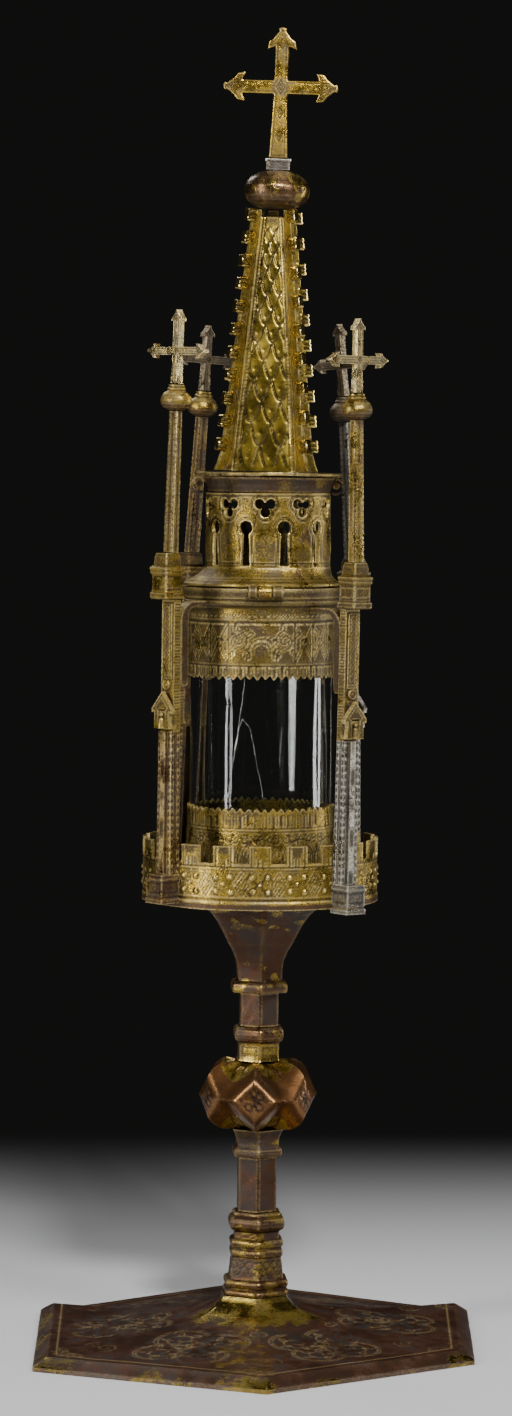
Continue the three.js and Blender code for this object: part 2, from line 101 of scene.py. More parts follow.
def finely(profile, spacing):
    path = [profile[0]]
    for start, end in zip(profile, profile[1:]):
        steps = max(1, round(math.dist(start, end) / spacing))
        path += [tuple(a + (b - a) * step / steps for a, b in zip(start, end))
                 for step in range(1, steps + 1)]
    return path


def spunSkin(profile, steps, spacing):
    bm = bmesh.new()
    ring = [bm.verts.new((radius, 0, height)) for radius, height in finely(profile, spacing)]
    edges = [bm.edges.new(pair) for pair in zip(ring, ring[1:])]
    bmesh.ops.spin(bm, geom=ring + edges, cent=(0, 0, 0), axis=(0, 0, 1), angle=fullTurn, steps=steps,
                   use_merge=True)
    bmesh.ops.remove_doubles(bm, verts=bm.verts, dist=1e-4)
    return bm


# Presses a turned skin to a polygon with slightly soft corners; radii in the profile are to the corners
def facet(bm, sides, corner, hardness=40.0, depth=1.0):
    points = readPoints(bm)
    azimuth = azimuthOf(points)
    faces = math.radians(corner) + (np.arange(sides) + 0.5) * fullTurn / sides
    push = (clamped(np.cos(azimuth[:, None] - faces)) ** hardness).sum(1) ** (1 / hardness)
    spread = math.cos(math.pi / sides) / push
    points[:, 0] *= spread
    points[:, 1] *= spread * depth
    movePoints(bm, points)
    return bm


def hexSkin(profile, steps, spacing):
    bm = facet(spunSkin(profile, steps, spacing), 6, 30)
    bmesh.ops.rotate(bm, verts=bm.verts, cent=(0, 0, 0),
                     matrix=Matrix.Rotation(math.radians(tower['hexTurn'] - 30), 3, 'Z'))
    return bm


def squareSkin(levels, steps, spacing, hardness, depth=1.0):
    profile = ([(0, levels[0][0])] + [(side * halfDiagonal, height) for height, side in levels]
               + [(0, levels[-1][0])])
    return facet(spunSkin(profile, steps, spacing), 4, 45, hardness, depth)


# A flat sheet cut to an outline: field is negative inside the metal
def stencilled(width, height, spacing, field, centre):
    bm = bmesh.new()
    columns, rows = round(width / spacing), round(height / spacing)
    bmesh.ops.create_grid(bm, x_segments=columns, y_segments=rows, size=0.5)
    bmesh.ops.scale(bm, vec=(width, height, 1), verts=bm.verts)
    bmesh.ops.translate(bm, vec=(centre[0], centre[1], 0), verts=bm.verts)
    faces = bm.faces[:]
    middles = np.array([face.calc_center_median()[:2] for face in faces])
    waste = [face for face, depth in zip(faces, field(middles)) if depth > 0]
    bmesh.ops.delete(bm, geom=waste, context='FACES')
    rim = [vert for vert in bm.verts if vert.is_boundary]
    spots = np.array([vert.co[:2] for vert in rim])
    for _ in range(3):
        depth = field(spots)
        nudge = 0.02
        slope = np.stack([field(spots + [nudge, 0]) - depth, field(spots + [0, nudge]) - depth], 1) / nudge
        slope /= np.maximum((slope ** 2).sum(1, keepdims=True), 0.25)
        near = np.abs(depth) < spacing * 1.6
        spots[near] -= (depth[:, None] * slope)[near]
    for vert, spot in zip(rim, spots):
        vert.co.x, vert.co.y = spot
    return bm


# Gives the sheet its thickness; the face stays at z = 0 and the back lies below it
def thicken(bm, thickness):
    grown = bmesh.ops.extrude_face_region(bm, geom=bm.faces[:], use_keep_orig=True)
    back = [item for item in grown['geom'] if isinstance(item, bmesh.types.BMVert)]
    bmesh.ops.translate(bm, vec=(0, 0, -thickness), verts=back)
    return bm


# Rolls the sheet to a cylinder about Z, its middle to the front
def rolled(bm, radius):
    points = readPoints(bm)
    azimuth = points[:, 0] / radius
    reach = radius + points[:, 2]
    movePoints(bm, np.stack([reach * np.sin(azimuth), -reach * np.cos(azimuth), points[:, 1]], 1))
    bmesh.ops.remove_doubles(bm, verts=bm.verts, dist=0.002)
    return bm


# Stands the sheet up: x stays, y becomes height, the face looks to -Y
def upright(bm):
    bmesh.ops.rotate(bm, verts=bm.verts, cent=(0, 0, 0), matrix=Matrix.Rotation(math.pi / 2, 3, 'X'))
    return bm


def joinInto(bm, other, matrix=None):
    if matrix is not None:
        bmesh.ops.transform(other, matrix=matrix, verts=other.verts)
    mesh = bpy.data.meshes.new('loose')
    other.to_mesh(mesh)
    other.free()
    bm.from_mesh(mesh)
    bpy.data.meshes.remove(mesh)
    return bm


# Outline fields

def discField(spots, x, y, radius):
    return np.hypot(spots[:, 0] - x, spots[:, 1] - y) - radius


def slabField(spots, x, y, halfWidth, halfHeight):
    across = np.abs(spots[:, 0] - x) - halfWidth
    up = np.abs(spots[:, 1] - y) - halfHeight
    outside = np.hypot(np.maximum(across, 0), np.maximum(up, 0))
    return outside + np.minimum(np.maximum(across, up), 0)


def polygonField(spots, outline):
    path = np.asarray(outline, dtype=float)
    after = np.roll(path, -1, axis=0)
    spans = after - path
    offsets = spots[:, None, :] - path
    along = clamped((offsets * spans).sum(2) / np.maximum((spans ** 2).sum(1), 1e-9))
    gaps = np.linalg.norm(offsets - along[..., None] * spans, axis=2).min(1)
    crosses = (path[:, 1] > spots[:, 1:2]) != (after[:, 1] > spots[:, 1:2])
    rise = np.where(np.abs(spans[:, 1]) < 1e-9, 1e-9, spans[:, 1])
    meet = path[:, 0] + (spots[:, 1:2] - path[:, 1]) * spans[:, 0] / rise
    within = (crosses & (spots[:, 0:1] < meet)).sum(1) % 2 == 1
    return np.where(within, -gaps, gaps)


# Engraving: distance from each spot to the nearest stroke

def strokeField(spots, strokes):
    reach, nearest = 1.5, np.full(len(spots), 99.0)
    for stroke in strokes:
        path = np.asarray(stroke, dtype=float)
        close = np.nonzero(((spots > path.min(0) - reach) & (spots < path.max(0) + reach)).all(1))[0]
        if not len(close):
            continue
        starts, spans = path[:-1], path[1:] - path[:-1]
        offsets = spots[close][:, None, :] - starts
        along = clamped((offsets * spans).sum(2) / np.maximum((spans ** 2).sum(1), 1e-9))
        gaps = np.linalg.norm(offsets - along[..., None] * spans, axis=2).min(1)
        nearest[close] = np.minimum(nearest[close], gaps)
    return nearest


def engraved(distance, width):
    return clamped(1 - np.abs(distance) / width)


def clamped(values):
    return np.clip(values, 0, 1)


def ease(value, low, high):
    part = clamped((value - low) / (high - low))
    return part * part * (3 - 2 * part)


def polar(x, y, radius, degrees):
    angle = math.radians(degrees)
    return x + radius * math.cos(angle), y + radius * math.sin(angle)


def arcStroke(x, y, radius, start, end, steps=14):
    return [polar(x, y, radius, degrees) for degrees in np.linspace(start, end, steps)]


def spiralStroke(x, y, outer, inner, start, turns, steps=26):
    return [polar(x, y, outer + (inner - outer) * part, start + 360 * turns * part)
            for part in np.linspace(0, 1, steps)]


def leafStrokes(x, y, angle, length, width):
    side, back = [], []
    a = math.radians(angle)
    for t in np.linspace(0, 1, 9):
        bulge = width * math.sin(math.pi * t ** 0.8)
        for path, sign in ((side, 1), (back, -1)):
            path.append((x + length * t * math.cos(a) - sign * bulge * math.sin(a),
                         y + length * t * math.sin(a) + sign * bulge * math.cos(a)))
    return [side, back]


def grain(points, size, seed=0.0):
    return np.array([noise.noise(Vector(point) / size + Vector((seed, seed * 0.7, -seed)))
                     for point in points])


def azimuthOf(points):
    return np.arctan2(points[:, 0], -points[:, 1])


def radiusOf(points):
    return np.hypot(points[:, 0], points[:, 1])


# True where the skin faces away from the axis
def looksOut(points, normals):
    return (normals[:, :2] * points[:, :2]).sum(1) > 0


# Finishing a piece: ornament is cut into the skin and kept as attributes, then the piece is placed

def writeMask(mesh, name, values):
    layer = mesh.attributes.new(name, 'FLOAT', 'POINT')
    layer.data.foreach_set('value', np.ascontiguousarray(values, dtype=np.float32))


def edgeMask(mesh, points):
    count = len(points)
    normals = np.empty(count * 3, dtype=np.float32)
    mesh.vertices.foreach_get('normal', normals)
    normals = normals.reshape(-1, 3)
    ends = np.empty(len(mesh.edges) * 2, dtype=np.int32)
    mesh.edges.foreach_get('vertices', ends)
    first, second = ends.reshape(-1, 2).T
    span = points[first] - points[second]
    length = np.maximum(np.linalg.norm(span, axis=1), 1e-6)
    bend, touched = np.zeros(count), np.zeros(count)
    np.add.at(bend, first, (span * normals[first]).sum(1) / length)
    np.add.at(bend, second, -(span * normals[second]).sum(1) / length)
    np.add.at(touched, first, 1)
    np.add.at(touched, second, 1)
    return bend / np.maximum(touched, 1)


totals = {'pieces': 0, 'triangles': 0}


def finish(name, bm, where, body, node, material, ornament=None, crease=40, settle=None):
    bmesh.ops.recalc_face_normals(bm, faces=bm.faces[:])
    mesh = bpy.data.meshes.new(name)
    bm.to_mesh(mesh)
    bm.free()
    count = len(mesh.vertices)
    points = np.empty(count * 3, dtype=np.float32)
    mesh.vertices.foreach_get('co', points)
    points = points.reshape(-1, 3).astype(float)
    masks = {'chased': np.zeros(count), 'tarnish': np.zeros(count), 'gilt': np.full(count, 0.5)}
    if ornament:
        normals = np.empty(count * 3, dtype=np.float32)
        mesh.vertices.foreach_get('normal', normals)
        normals = normals.reshape(-1, 3)
        result = ornament(points, normals)
        sink = result.pop('sink', 0.14 * result.get('chased', masks['chased']))
        points -= normals * sink[:, None]
        masks.update(result)
    if settle:
        points = settle(points)
    mesh.vertices.foreach_set('co', points.astype(np.float32).ravel())
    mesh.update()
    bend = edgeMask(mesh, points)
    # Convex edges and each ornament's pale marks are lightened: partly rubbed gilding, partly a painted
    # highlight
    masks['rubbed'] = clamped(bend * 1.3 + masks.pop('paleMarkAndHighlight', 0))
    masks['tarnish'] = clamped(masks['tarnish'] + np.clip(-bend * 1.6, 0, 0.7))
    for mask, values in masks.items():
        writeMask(mesh, mask, values)
    mesh.transform(Matrix.Scale(millimetre, 4) @ where)
    mesh.polygons.foreach_set('use_smooth', [True] * len(mesh.polygons))
    mesh.set_sharp_from_angle(angle=math.radians(crease))
    piece = bpy.data.objects.new(name, mesh)
    bpy.context.scene.collection.objects.link(piece)
    mesh.materials.append(material)
    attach(piece, body)
    if node:
        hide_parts(*([node] if isinstance(node, str) else node))
    mesh.calc_loop_triangles()
    totals['pieces'] += 1
    totals['triangles'] += len(mesh.loop_triangles)
    return piece


# Materials: gilding over copper, worn through and tarnished, with paler rubbed edges and painted highlights

def addNode(tree, kind, values=None, **settings):
    item = tree.nodes.new(kind)
    for key, value in settings.items():
        setattr(item, key, value)
    for key, value in (values or {}).items():
        item.inputs[key].default_value = value
    return item


def groupSockets(tree, inputs, outputs):
    for name, kind, value in inputs:
        socket = tree.interface.new_socket(name=name, in_out='INPUT', socket_type='NodeSocket' + kind)
        if value is not None:
            socket.default_value = value
    for name, kind in outputs:
        tree.interface.new_socket(name=name, in_out='OUTPUT', socket_type='NodeSocket' + kind)


def blendColours(tree, factor, first, second):
    mix = addNode(tree, 'ShaderNodeMix', data_type='RGBA', blend_type='MIX')
    for socket, index in ((factor, 0), (first, 6), (second, 7)):
        if isinstance(socket, bpy.types.NodeSocket):
            tree.links.new(socket, mix.inputs[index])
        else:
            mix.inputs[index].default_value = socket
    return mix.outputs[2]


def sumUp(tree, operation, first, second, clamp=False):
    maths = addNode(tree, 'ShaderNodeMath', operation=operation, use_clamp=clamp)
    for index, value in enumerate((first, second)):
        if isinstance(value, bpy.types.NodeSocket):
            tree.links.new(value, maths.inputs[index])
        else:
            maths.inputs[index].default_value = value
    return maths.outputs[0]


def ramped(tree, value, low, high):
    spread = addNode(tree, 'ShaderNodeMapRange', {1: low, 2: high}, interpolation_type='SMOOTHSTEP',
                     clamp=True)
    tree.links.new(value, spread.inputs[0])
    return spread.outputs[0]


def buildAgedMetal():
    tree = bpy.data.node_groups.new('agedMetal', 'ShaderNodeTree')
    groupSockets(tree, [
        ('Gilding', 'Color', (0.7, 0.48, 0.16, 1)), ('Copper', 'Color', (0.3, 0.14, 0.07, 1)),
        ('Tarnish', 'Color', (0.05, 0.035, 0.025, 1)), ('Line', 'Color', (0.06, 0.04, 0.02, 1)),
        ('RubSheen', 'Color', (0.8, 0.7, 0.5, 1)), ('Coarseness', 'Float', 90.0), ('Streak', 'Float', 1.0),
        ('Wear', 'Float', 0.45), ('Grime', 'Float', 0.4), ('Dull', 'Float', 0.15), ('Gilt', 'Float', 0.5),
        ('Chased', 'Float', 0.0), ('Dark', 'Float', 0.0), ('Rubbed', 'Float', 0.0),
    ], [('Colour', 'Color'), ('Roughness', 'Float'), ('Metal', 'Float'), ('Height', 'Float')])
    given = addNode(tree, 'NodeGroupInput').outputs
    result = addNode(tree, 'NodeGroupOutput')
    link = tree.links.new
    coords = addNode(tree, 'ShaderNodeTexCoord').outputs['Object']
    squash = addNode(tree, 'ShaderNodeVectorMath', operation='MULTIPLY')
    link(coords, squash.inputs[0])
    stretch = addNode(tree, 'ShaderNodeCombineXYZ', {0: 1.0, 1: 1.0})
    link(given['Streak'], stretch.inputs[2])
    link(stretch.outputs[0], squash.inputs[1])

    def speckle(multiple, detail, rough, space):
        texture = addNode(tree, 'ShaderNodeTexNoise', {'Detail': detail, 'Roughness': rough})
        link(space, texture.inputs['Vector'])
        link(sumUp(tree, 'MULTIPLY', given['Coarseness'], multiple), texture.inputs['Scale'])
        return texture.outputs['Fac']

    broad = speckle(0.45, 3.0, 0.55, coords)
    worn = speckle(1.0, 7.0, 0.68, squash.outputs[0])
    fine = speckle(7.0, 4.0, 0.6, squash.outputs[0])
    pits = speckle(16.0, 2.0, 0.5, coords)
    mottled = sumUp(tree, 'ADD', sumUp(tree, 'MULTIPLY', worn, 0.7), sumUp(tree, 'MULTIPLY', fine, 0.3))
    edge = sumUp(tree, 'ADD', given['Wear'],
                 sumUp(tree, 'MULTIPLY', sumUp(tree, 'SUBTRACT', 0.5, given['Gilt']), 0.55))
    golden = ramped(tree, sumUp(tree, 'SUBTRACT', mottled, edge), -0.03, 0.035)
    hue = blendColours(tree, golden, given['Copper'], given['Gilding'])
    dimmed = blendColours(tree, 0.62, hue, given['Tarnish'])
    hue = blendColours(tree, ramped(tree, broad, 0.62, 0.36), hue, dimmed)
    shade = sumUp(tree, 'ADD', sumUp(tree, 'MULTIPLY', broad, 0.6), sumUp(tree, 'MULTIPLY', fine, 0.4))
    soot = sumUp(tree, 'SUBTRACT', sumUp(tree, 'ADD', shade, given['Grime']), 1.0)
    soiled = ramped(tree, soot, -0.06, 0.06)
    soiled = sumUp(tree, 'MAXIMUM', soiled,
                   sumUp(tree, 'MULTIPLY', given['Dark'], ramped(tree, fine, 0.3, 0.5)))
    hue = blendColours(tree, sumUp(tree, 'MULTIPLY', soiled, 0.92), hue, given['Tarnish'])
    lined = sumUp(tree, 'MULTIPLY', given['Chased'], ramped(tree, worn, 0.26, 0.42))
    hue = blendColours(tree, lined, hue, given['Line'])
    # The pale rub colour goes where the edge mask is set: partly rubbed gilding, partly a painted highlight
    paleMarkAndHighlight = sumUp(tree, 'MULTIPLY', given['Rubbed'], ramped(tree, fine, 0.36, 0.56))
    hue = blendColours(tree, paleMarkAndHighlight, hue, given['RubSheen'])
    rough = sumUp(tree, 'ADD', 0.16, sumUp(tree, 'MULTIPLY', worn, 0.18))
    rough = sumUp(tree, 'ADD', rough, sumUp(tree, 'MULTIPLY', soiled, 0.22))
    rough = sumUp(tree, 'SUBTRACT', rough, sumUp(tree, 'MULTIPLY', paleMarkAndHighlight, 0.1), clamp=True)
    dull = sumUp(tree, 'MULTIPLY', given['Dull'], sumUp(tree, 'SUBTRACT', 1.0, golden))
    rough = sumUp(tree, 'ADD', rough, sumUp(tree, 'MULTIPLY', dull, 0.2), clamp=True)
    metal = sumUp(tree, 'SUBTRACT', 1.0, sumUp(tree, 'MULTIPLY', soiled, 0.45), clamp=True)
    metal = sumUp(tree, 'SUBTRACT', metal, dull, clamp=True)
    height = sumUp(tree, 'ADD', sumUp(tree, 'MULTIPLY', broad, 1.2), sumUp(tree, 'MULTIPLY', fine, 0.22))
    height = sumUp(tree, 'ADD', height, sumUp(tree, 'MULTIPLY', pits, 0.1))
    height = sumUp(tree, 'ADD', height, sumUp(tree, 'MULTIPLY', golden, 0.12))
    for name, socket in (('Colour', hue), ('Roughness', rough), ('Metal', metal), ('Height', height)):
        link(socket, result.inputs[name])
    return tree


agedMetal = buildAgedMetal()


def metalFinish(name, look):
    material = bpy.data.materials.new(name)
    material.use_nodes = True
    tree = material.node_tree
    shader = tree.nodes['Principled BSDF']
    aged = addNode(tree, 'ShaderNodeGroup', node_tree=agedMetal)
    for key in ('Gilding', 'Copper', 'Tarnish', 'Line', 'RubSheen'):
        aged.inputs[key].default_value = (*look[key.lower()], 1)
    for key in ('Coarseness', 'Streak', 'Wear', 'Grime', 'Dull'):
        aged.inputs[key].default_value = look[key.lower()]
    for key, mask in (('Gilt', 'gilt'), ('Chased', 'chased'), ('Dark', 'tarnish'), ('Rubbed', 'rubbed')):
        reader = addNode(tree, 'ShaderNodeAttribute', attribute_name=mask, attribute_type='GEOMETRY')
        tree.links.new(reader.outputs['Fac'], aged.inputs[key])
    bump = addNode(tree, 'ShaderNodeBump', {'Strength': look['bump'], 'Distance': 0.0006})
    tree.links.new(aged.outputs['Height'], bump.inputs['Height'])
    tree.links.new(aged.outputs['Colour'], shader.inputs['Base Color'])
    tree.links.new(aged.outputs['Roughness'], shader.inputs['Roughness'])
    tree.links.new(aged.outputs['Metal'], shader.inputs['Metallic'])
    tree.links.new(bump.outputs['Normal'], shader.inputs['Normal'])
    return material


brightGold = {
    'gilding': (0.62, 0.41, 0.05), 'copper': (0.22, 0.105, 0.025), 'tarnish': (0.024, 0.015, 0.008),
    'line': (0.03, 0.018, 0.007),
    'rubsheen': (0.85, 0.65, 0.24), 'coarseness': 210.0, 'streak': 1.0, 'wear': 0.43, 'grime': 0.5, 'dull': 0.15,
    'bump': 0.8,
}
finishes = {
    'foot': metalFinish('footCopper', {
        'gilding': (0.6, 0.42, 0.07), 'copper': (0.078, 0.028, 0.012), 'tarnish': (0.012, 0.01, 0.008),
        'line': (0.27, 0.19, 0.075), 'rubsheen': (0.32, 0.24, 0.15), 'coarseness': 230.0, 'streak': 2.0,
        'wear': 0.6, 'grime': 0.45, 'dull': 0.6, 'bump': 0.4,
    }),
    'stem': metalFinish('stemCopper', {
        'gilding': (0.6, 0.41, 0.06), 'copper': (0.12, 0.044, 0.013), 'tarnish': (0.022, 0.014, 0.01),
        'line': (0.015, 0.01, 0.008), 'rubsheen': (0.66, 0.44, 0.15), 'coarseness': 170.0, 'streak': 1.6,
        'wear': 0.56, 'grime': 0.52, 'dull': 0.15, 'bump': 0.4,
    }),
    'knop': metalFinish('knopCopper', {
        'gilding': (0.62, 0.42, 0.07), 'copper': (0.2, 0.088, 0.03), 'tarnish': (0.025, 0.015, 0.01),
        'line': (0.012, 0.009, 0.007), 'rubsheen': (0.55, 0.33, 0.13), 'coarseness': 150.0, 'streak': 1.0,
        'wear': 0.62, 'grime': 0.36, 'dull': 0.15, 'bump': 0.25,
    }),
    'globe': metalFinish('globeCopper', {
        'gilding': (0.66, 0.44, 0.08), 'copper': (0.17, 0.088, 0.034), 'tarnish': (0.02, 0.014, 0.01),
        'line': (0.012, 0.009, 0.007), 'rubsheen': (0.62, 0.44, 0.2), 'coarseness': 230.0, 'streak': 0.5,
        'wear': 0.48, 'grime': 0.45, 'dull': 0.1, 'bump': 0.3,
    }),
    'gold': metalFinish('wornGilding', brightGold),
    'mount': metalFinish('mountGilding',
                         {**brightGold, 'gilding': (0.52, 0.35, 0.055), 'wear': 0.46, 'grime': 0.55}),
    'spireGold': metalFinish('spireGilding',
                             {**brightGold, 'gilding': (0.66, 0.46, 0.06), 'wear': 0.38, 'grime': 0.34,
                              'bump': 0.15}),
    'crossGold': metalFinish('crossGilding', {
        **brightGold, 'gilding': (0.8, 0.5, 0.05), 'copper': (0.34, 0.16, 0.03),
        'tarnish': (0.016, 0.018, 0.02),
        'line': (0.03, 0.024, 0.02), 'rubsheen': (0.66, 0.46, 0.13), 'wear': 0.38, 'grime': 0.44,
    }),
    'brown': metalFinish('brownedCopper', {
        **brightGold, 'gilding': (0.46, 0.29, 0.05), 'copper': (0.13, 0.052, 0.02),
        'tarnish': (0.024, 0.016, 0.01), 'rubsheen': (0.7, 0.5, 0.2), 'wear': 0.51, 'grime': 0.53,
    }),
    'pale': metalFinish('paleGilding', {
        **brightGold, 'gilding': (0.76, 0.57, 0.2), 'copper': (0.42, 0.29, 0.11), 'rubsheen': (0.88, 0.74, 0.4),
        'wear': 0.44, 'grime': 0.5, 'coarseness': 260.0,
    }),
    'grey': metalFinish('greyedGilding', {
        **brightGold, 'gilding': (0.34, 0.25, 0.11), 'copper': (0.18, 0.12, 0.07),
        'rubsheen': (0.52, 0.42, 0.27), 'wear': 0.5, 'grime': 0.56, 'coarseness': 240.0,
    }),
    # A pale silvery tone: partly the metal's own, partly a painted reflection on the front-right pier
    'silverAndReflection': metalFinish('silverToneAndPaintedReflection', {
        **brightGold, 'gilding': (0.46, 0.39, 0.25), 'copper': (0.2, 0.16, 0.12), 'rubsheen': (0.86, 0.8, 0.66),
        'tarnish': (0.03, 0.026, 0.022), 'line': (0.015, 0.013, 0.012), 'wear': 0.5, 'grime': 0.52,
        'coarseness': 230.0,
    }),
}
print('materials ready')


# Foot: a raised hexagonal sheet, six lobed medallions of scrollwork, worn gilding round the stem

foot = {
    'turn': 3.0,
    'cuts': 149,
    'plateRadius': 80.0,
    'flare': [(0, 15.6), (12.4, 15.6), (13.2, 14.2), (15.4, 12.2), (19, 10.2), (24, 8.7), (30, 7.4),
              (42, 6), (60, 5), (80, 4.4)],
    'rim': [(80.7, 4.2), (83.2, 2.9), (84.9, 1.9), (85.5, 1.5), (85.5, 0.3), (85.2, 0), (81.5, 0),
            (81.5, 1), (84, 1.1)],
    'underside': [(79, 3.2), (59.4, 3.8), (41.4, 4.8), (29.4, 6.2), (18.4, 9), (12.6, 12.9), (11.6, 14.4)],
    'medallion': 45.0,
    'border': 76.8,
    'outer': 85.5,
    'corners': [(4.2, -86.4), (73.6, -42.8), (75.2, 37.5), (-5.6, 86.4), (-75.2, 38.2), (-73.1, -53.3)],
    'pressed': 3,
    'inset': 0.9995,
}


def hexReach(points, turn):
    azimuth = azimuthOf(points)
    middles = math.radians(turn + 30) + np.arange(6) * fullTurn / 6
    return radiusOf(points) * np.cos(azimuth[:, None] - middles).max(1) / math.cos(math.pi / 6)


# Each point folded into the one sector that faces the front: across and outward
def sectorSpots(points, turn):
    azimuth = azimuthOf(points) - math.radians(turn)
    sector = np.floor(azimuth / (fullTurn / 6))
    local = azimuth - (sector + 0.5) * fullTurn / 6
    radius = radiusOf(points)
    return np.stack([radius * np.sin(local), radius * np.cos(local)], 1)


# The six corners of the sheet were never quite regular, and the back one is pressed down
def settleFoot(points):
    azimuth = azimuthOf(points) - math.radians(foot['turn'])
    place = np.mod(azimuth / (fullTurn / 6), 6)
    first = np.floor(place).astype(int) % 6
    outline = np.array(foot['corners']) / foot['outer'] * foot['inset']
    turns = math.radians(foot['turn']) + np.arange(6) * fullTurn / 6
    regular = np.stack([np.sin(turns), -np.cos(turns)], 1)
    start, end = regular[first], regular[(first + 1) % 6]
    cross = start[:, 0] * end[:, 1] - start[:, 1] * end[:, 0]
    along = (start[:, 0] * points[:, 1] - start[:, 1] * points[:, 0]) / cross
    back = (points[:, 0] * end[:, 1] - points[:, 1] * end[:, 0]) / cross
    moved = back[:, None] * outline[first] + along[:, None] * outline[(first + 1) % 6]
    reach = hexReach(points, foot['turn'])
    share = ease(reach, 20, 60)[:, None]
    pressed = (np.where(first == foot['pressed'], back, np.where(first == foot['pressed'] - 1, along, 0))
               * foot['outer'] / np.maximum(reach, 1))
    sunk = 1 - 0.5 * clamped(pressed) * ease(reach, 45, 80)
    return np.hstack([points[:, :2] * (1 - share) + moved * share, points[:, 2:] * sunk[:, None]])


def medallionStrokes():
    strokes = []
    for lobe, away in ((9.4, 10.2), (8.3, 10.2)):
        for quarter in range(4):
            middle = 45 + 90 * quarter
            x, y = polar(0, 0, away, middle)
            strokes.append(arcStroke(x, y, lobe, middle - 112, middle + 112, 22))
    for quarter in range(4):
        middle = 45 + 90 * quarter
        x, y = polar(0, 0, 10.2, middle)
        strokes.append(spiralStroke(x, y, 6.4, 1.2, middle + 150, 1.4))
        for bearing in (0, 75, 150, 225, 290):
            strokes += leafStrokes(*polar(x, y, 3.4, bearing), bearing + 35, 4.2, 0.9)
        strokes += leafStrokes(0, 0, 90 * quarter, 7.5, 1.3)
        strokes += leafStrokes(0, 0, middle, 5.0, 0.9)
    strokes.append(arcStroke(0, 0, 2.0, 0, 360, 16))
    return strokes


def footOrnament(points, normals):
    reach = hexReach(points, foot['turn'])
    spots = sectorSpots(points, foot['turn'])
    spots[:, 1] -= foot['medallion']
    above = normals[:, 2] > 0.3
    distance = strokeField(spots, medallionStrokes())
    sprigs = []
    for side in (-1, 1):
        for bearing in (20, 60, 100, 150):
            sprigs += leafStrokes(side * 34, 18, bearing if side > 0 else 180 - bearing, 5.5, 1.0)
        sprigs.append(spiralStroke(side * 27.5, 8, 4.2, 1.0, 90, side * 1.3))
        sprigs.append(spiralStroke(side * 13.5, -19, 2.6, 0.7, -90, side * 1.2))
    distance = np.minimum(distance, strokeField(spots, sprigs))
    border = np.minimum(np.abs(reach - foot['border']), np.abs(reach - foot['border'] + 1.3) + 0.12)
    patchy = grain(points, 9.0, 3.0)
    chased = np.maximum(0.7 * engraved(distance, 0.26) * ease(patchy, -0.3, 0.1),
                        engraved(border, 0.34) * 0.8)
    chased *= above * (reach > 21)
    heart = radiusOf(spots)
    leafy = (ease(grain(points, 2.6, 9.0), -0.1, 0.12) * (1 - ease(heart, 15, 21))
             + 0.7 * ease(grain(points, 5.0, 20.0), 0.25, 0.5))
    shadowed = 0.5 * ease(grain(points, 22.0, 31.0), 0.1, 0.5)
    tarnish = clamped(leafy * above * ease(reach, 24, 34) * (1 - ease(reach, 74, 78)) + shadowed)
    front = ease(-points[:, 1] / np.maximum(reach, 1), -0.2, 0.5)
    gilt = (0.42 + 0.5 * (1 - ease(reach, 17, 33)) * front
            + 0.3 * ease(reach, 79, 81) * ease(grain(points, 14.0, 5.0), -0.1, 0.3))
    gilt += 0.2 * (1 - ease(np.abs(points[:, 0] + 4), 4, 16)) * ease(-points[:, 1], 20, 40)
    bevel = ease(reach, 79.5, 81) * above
    tarnish = np.maximum(tarnish,
                         0.75 * bevel * ease(grain(points, 5.0, 17.0), -0.3, 0.3) * (points[:, 0] < 10))
    ripple = 0.35 * grain(points, 34.0, 12.0) * ease(reach, 20, 40) * (1 - ease(reach, 79, 84))
    hammered = 0.1 * grain(points, 7.0, 40.0) * ease(reach, 16, 26)
    sink = 0.16 * chased - (ripple + hammered) * above
    return {'sink': sink, 'chased': chased, 'tarnish': tarnish, 'gilt': clamped(gilt)}


def buildFoot():
    bm = bmesh.new()
    bmesh.ops.create_circle(bm, cap_ends=True, cap_tris=True, segments=6, radius=foot['plateRadius'])
    bmesh.ops.rotate(bm, verts=bm.verts, cent=(0, 0, 0),
                     matrix=Matrix.Rotation(math.radians(foot['turn']), 3, 'Z'))
    bmesh.ops.subdivide_edges(bm, edges=bm.edges[:], cuts=foot['cuts'], use_grid_fill=True)
    points = readPoints(bm)
    reach = hexReach(points, foot['turn'])
    radii, heights = zip(*foot['flare'])
    points[:, 2] = np.interp(reach, radii, heights)
    movePoints(bm, points)
    loop = [edge for edge in bm.edges if edge.is_boundary]
    last = foot['plateRadius']
    for radius, height in foot['rim'] + foot['underside']:
        grown = bmesh.ops.extrude_edge_only(bm, edges=loop)['geom']
        verts = [item for item in grown if isinstance(item, bmesh.types.BMVert)]
        loop = [item for item in grown if isinstance(item, bmesh.types.BMEdge)]
        bmesh.ops.scale(bm, vec=(radius / last, radius / last, 1), verts=verts)
        for vert in verts:
            vert.co.z = height
        last = radius
    bmesh.ops.contextual_create(bm, geom=loop)
    bmesh.ops.triangulate(bm, faces=[face for face in bm.faces if len(face.verts) > 4])
    return finish('footSheet', bm, ground, 'root', 'foot', finishes['foot'], footOrnament,
                  settle=settleFoot)


buildFoot()
print('foot done')


# Stem: hexagonal mouldings and shafts

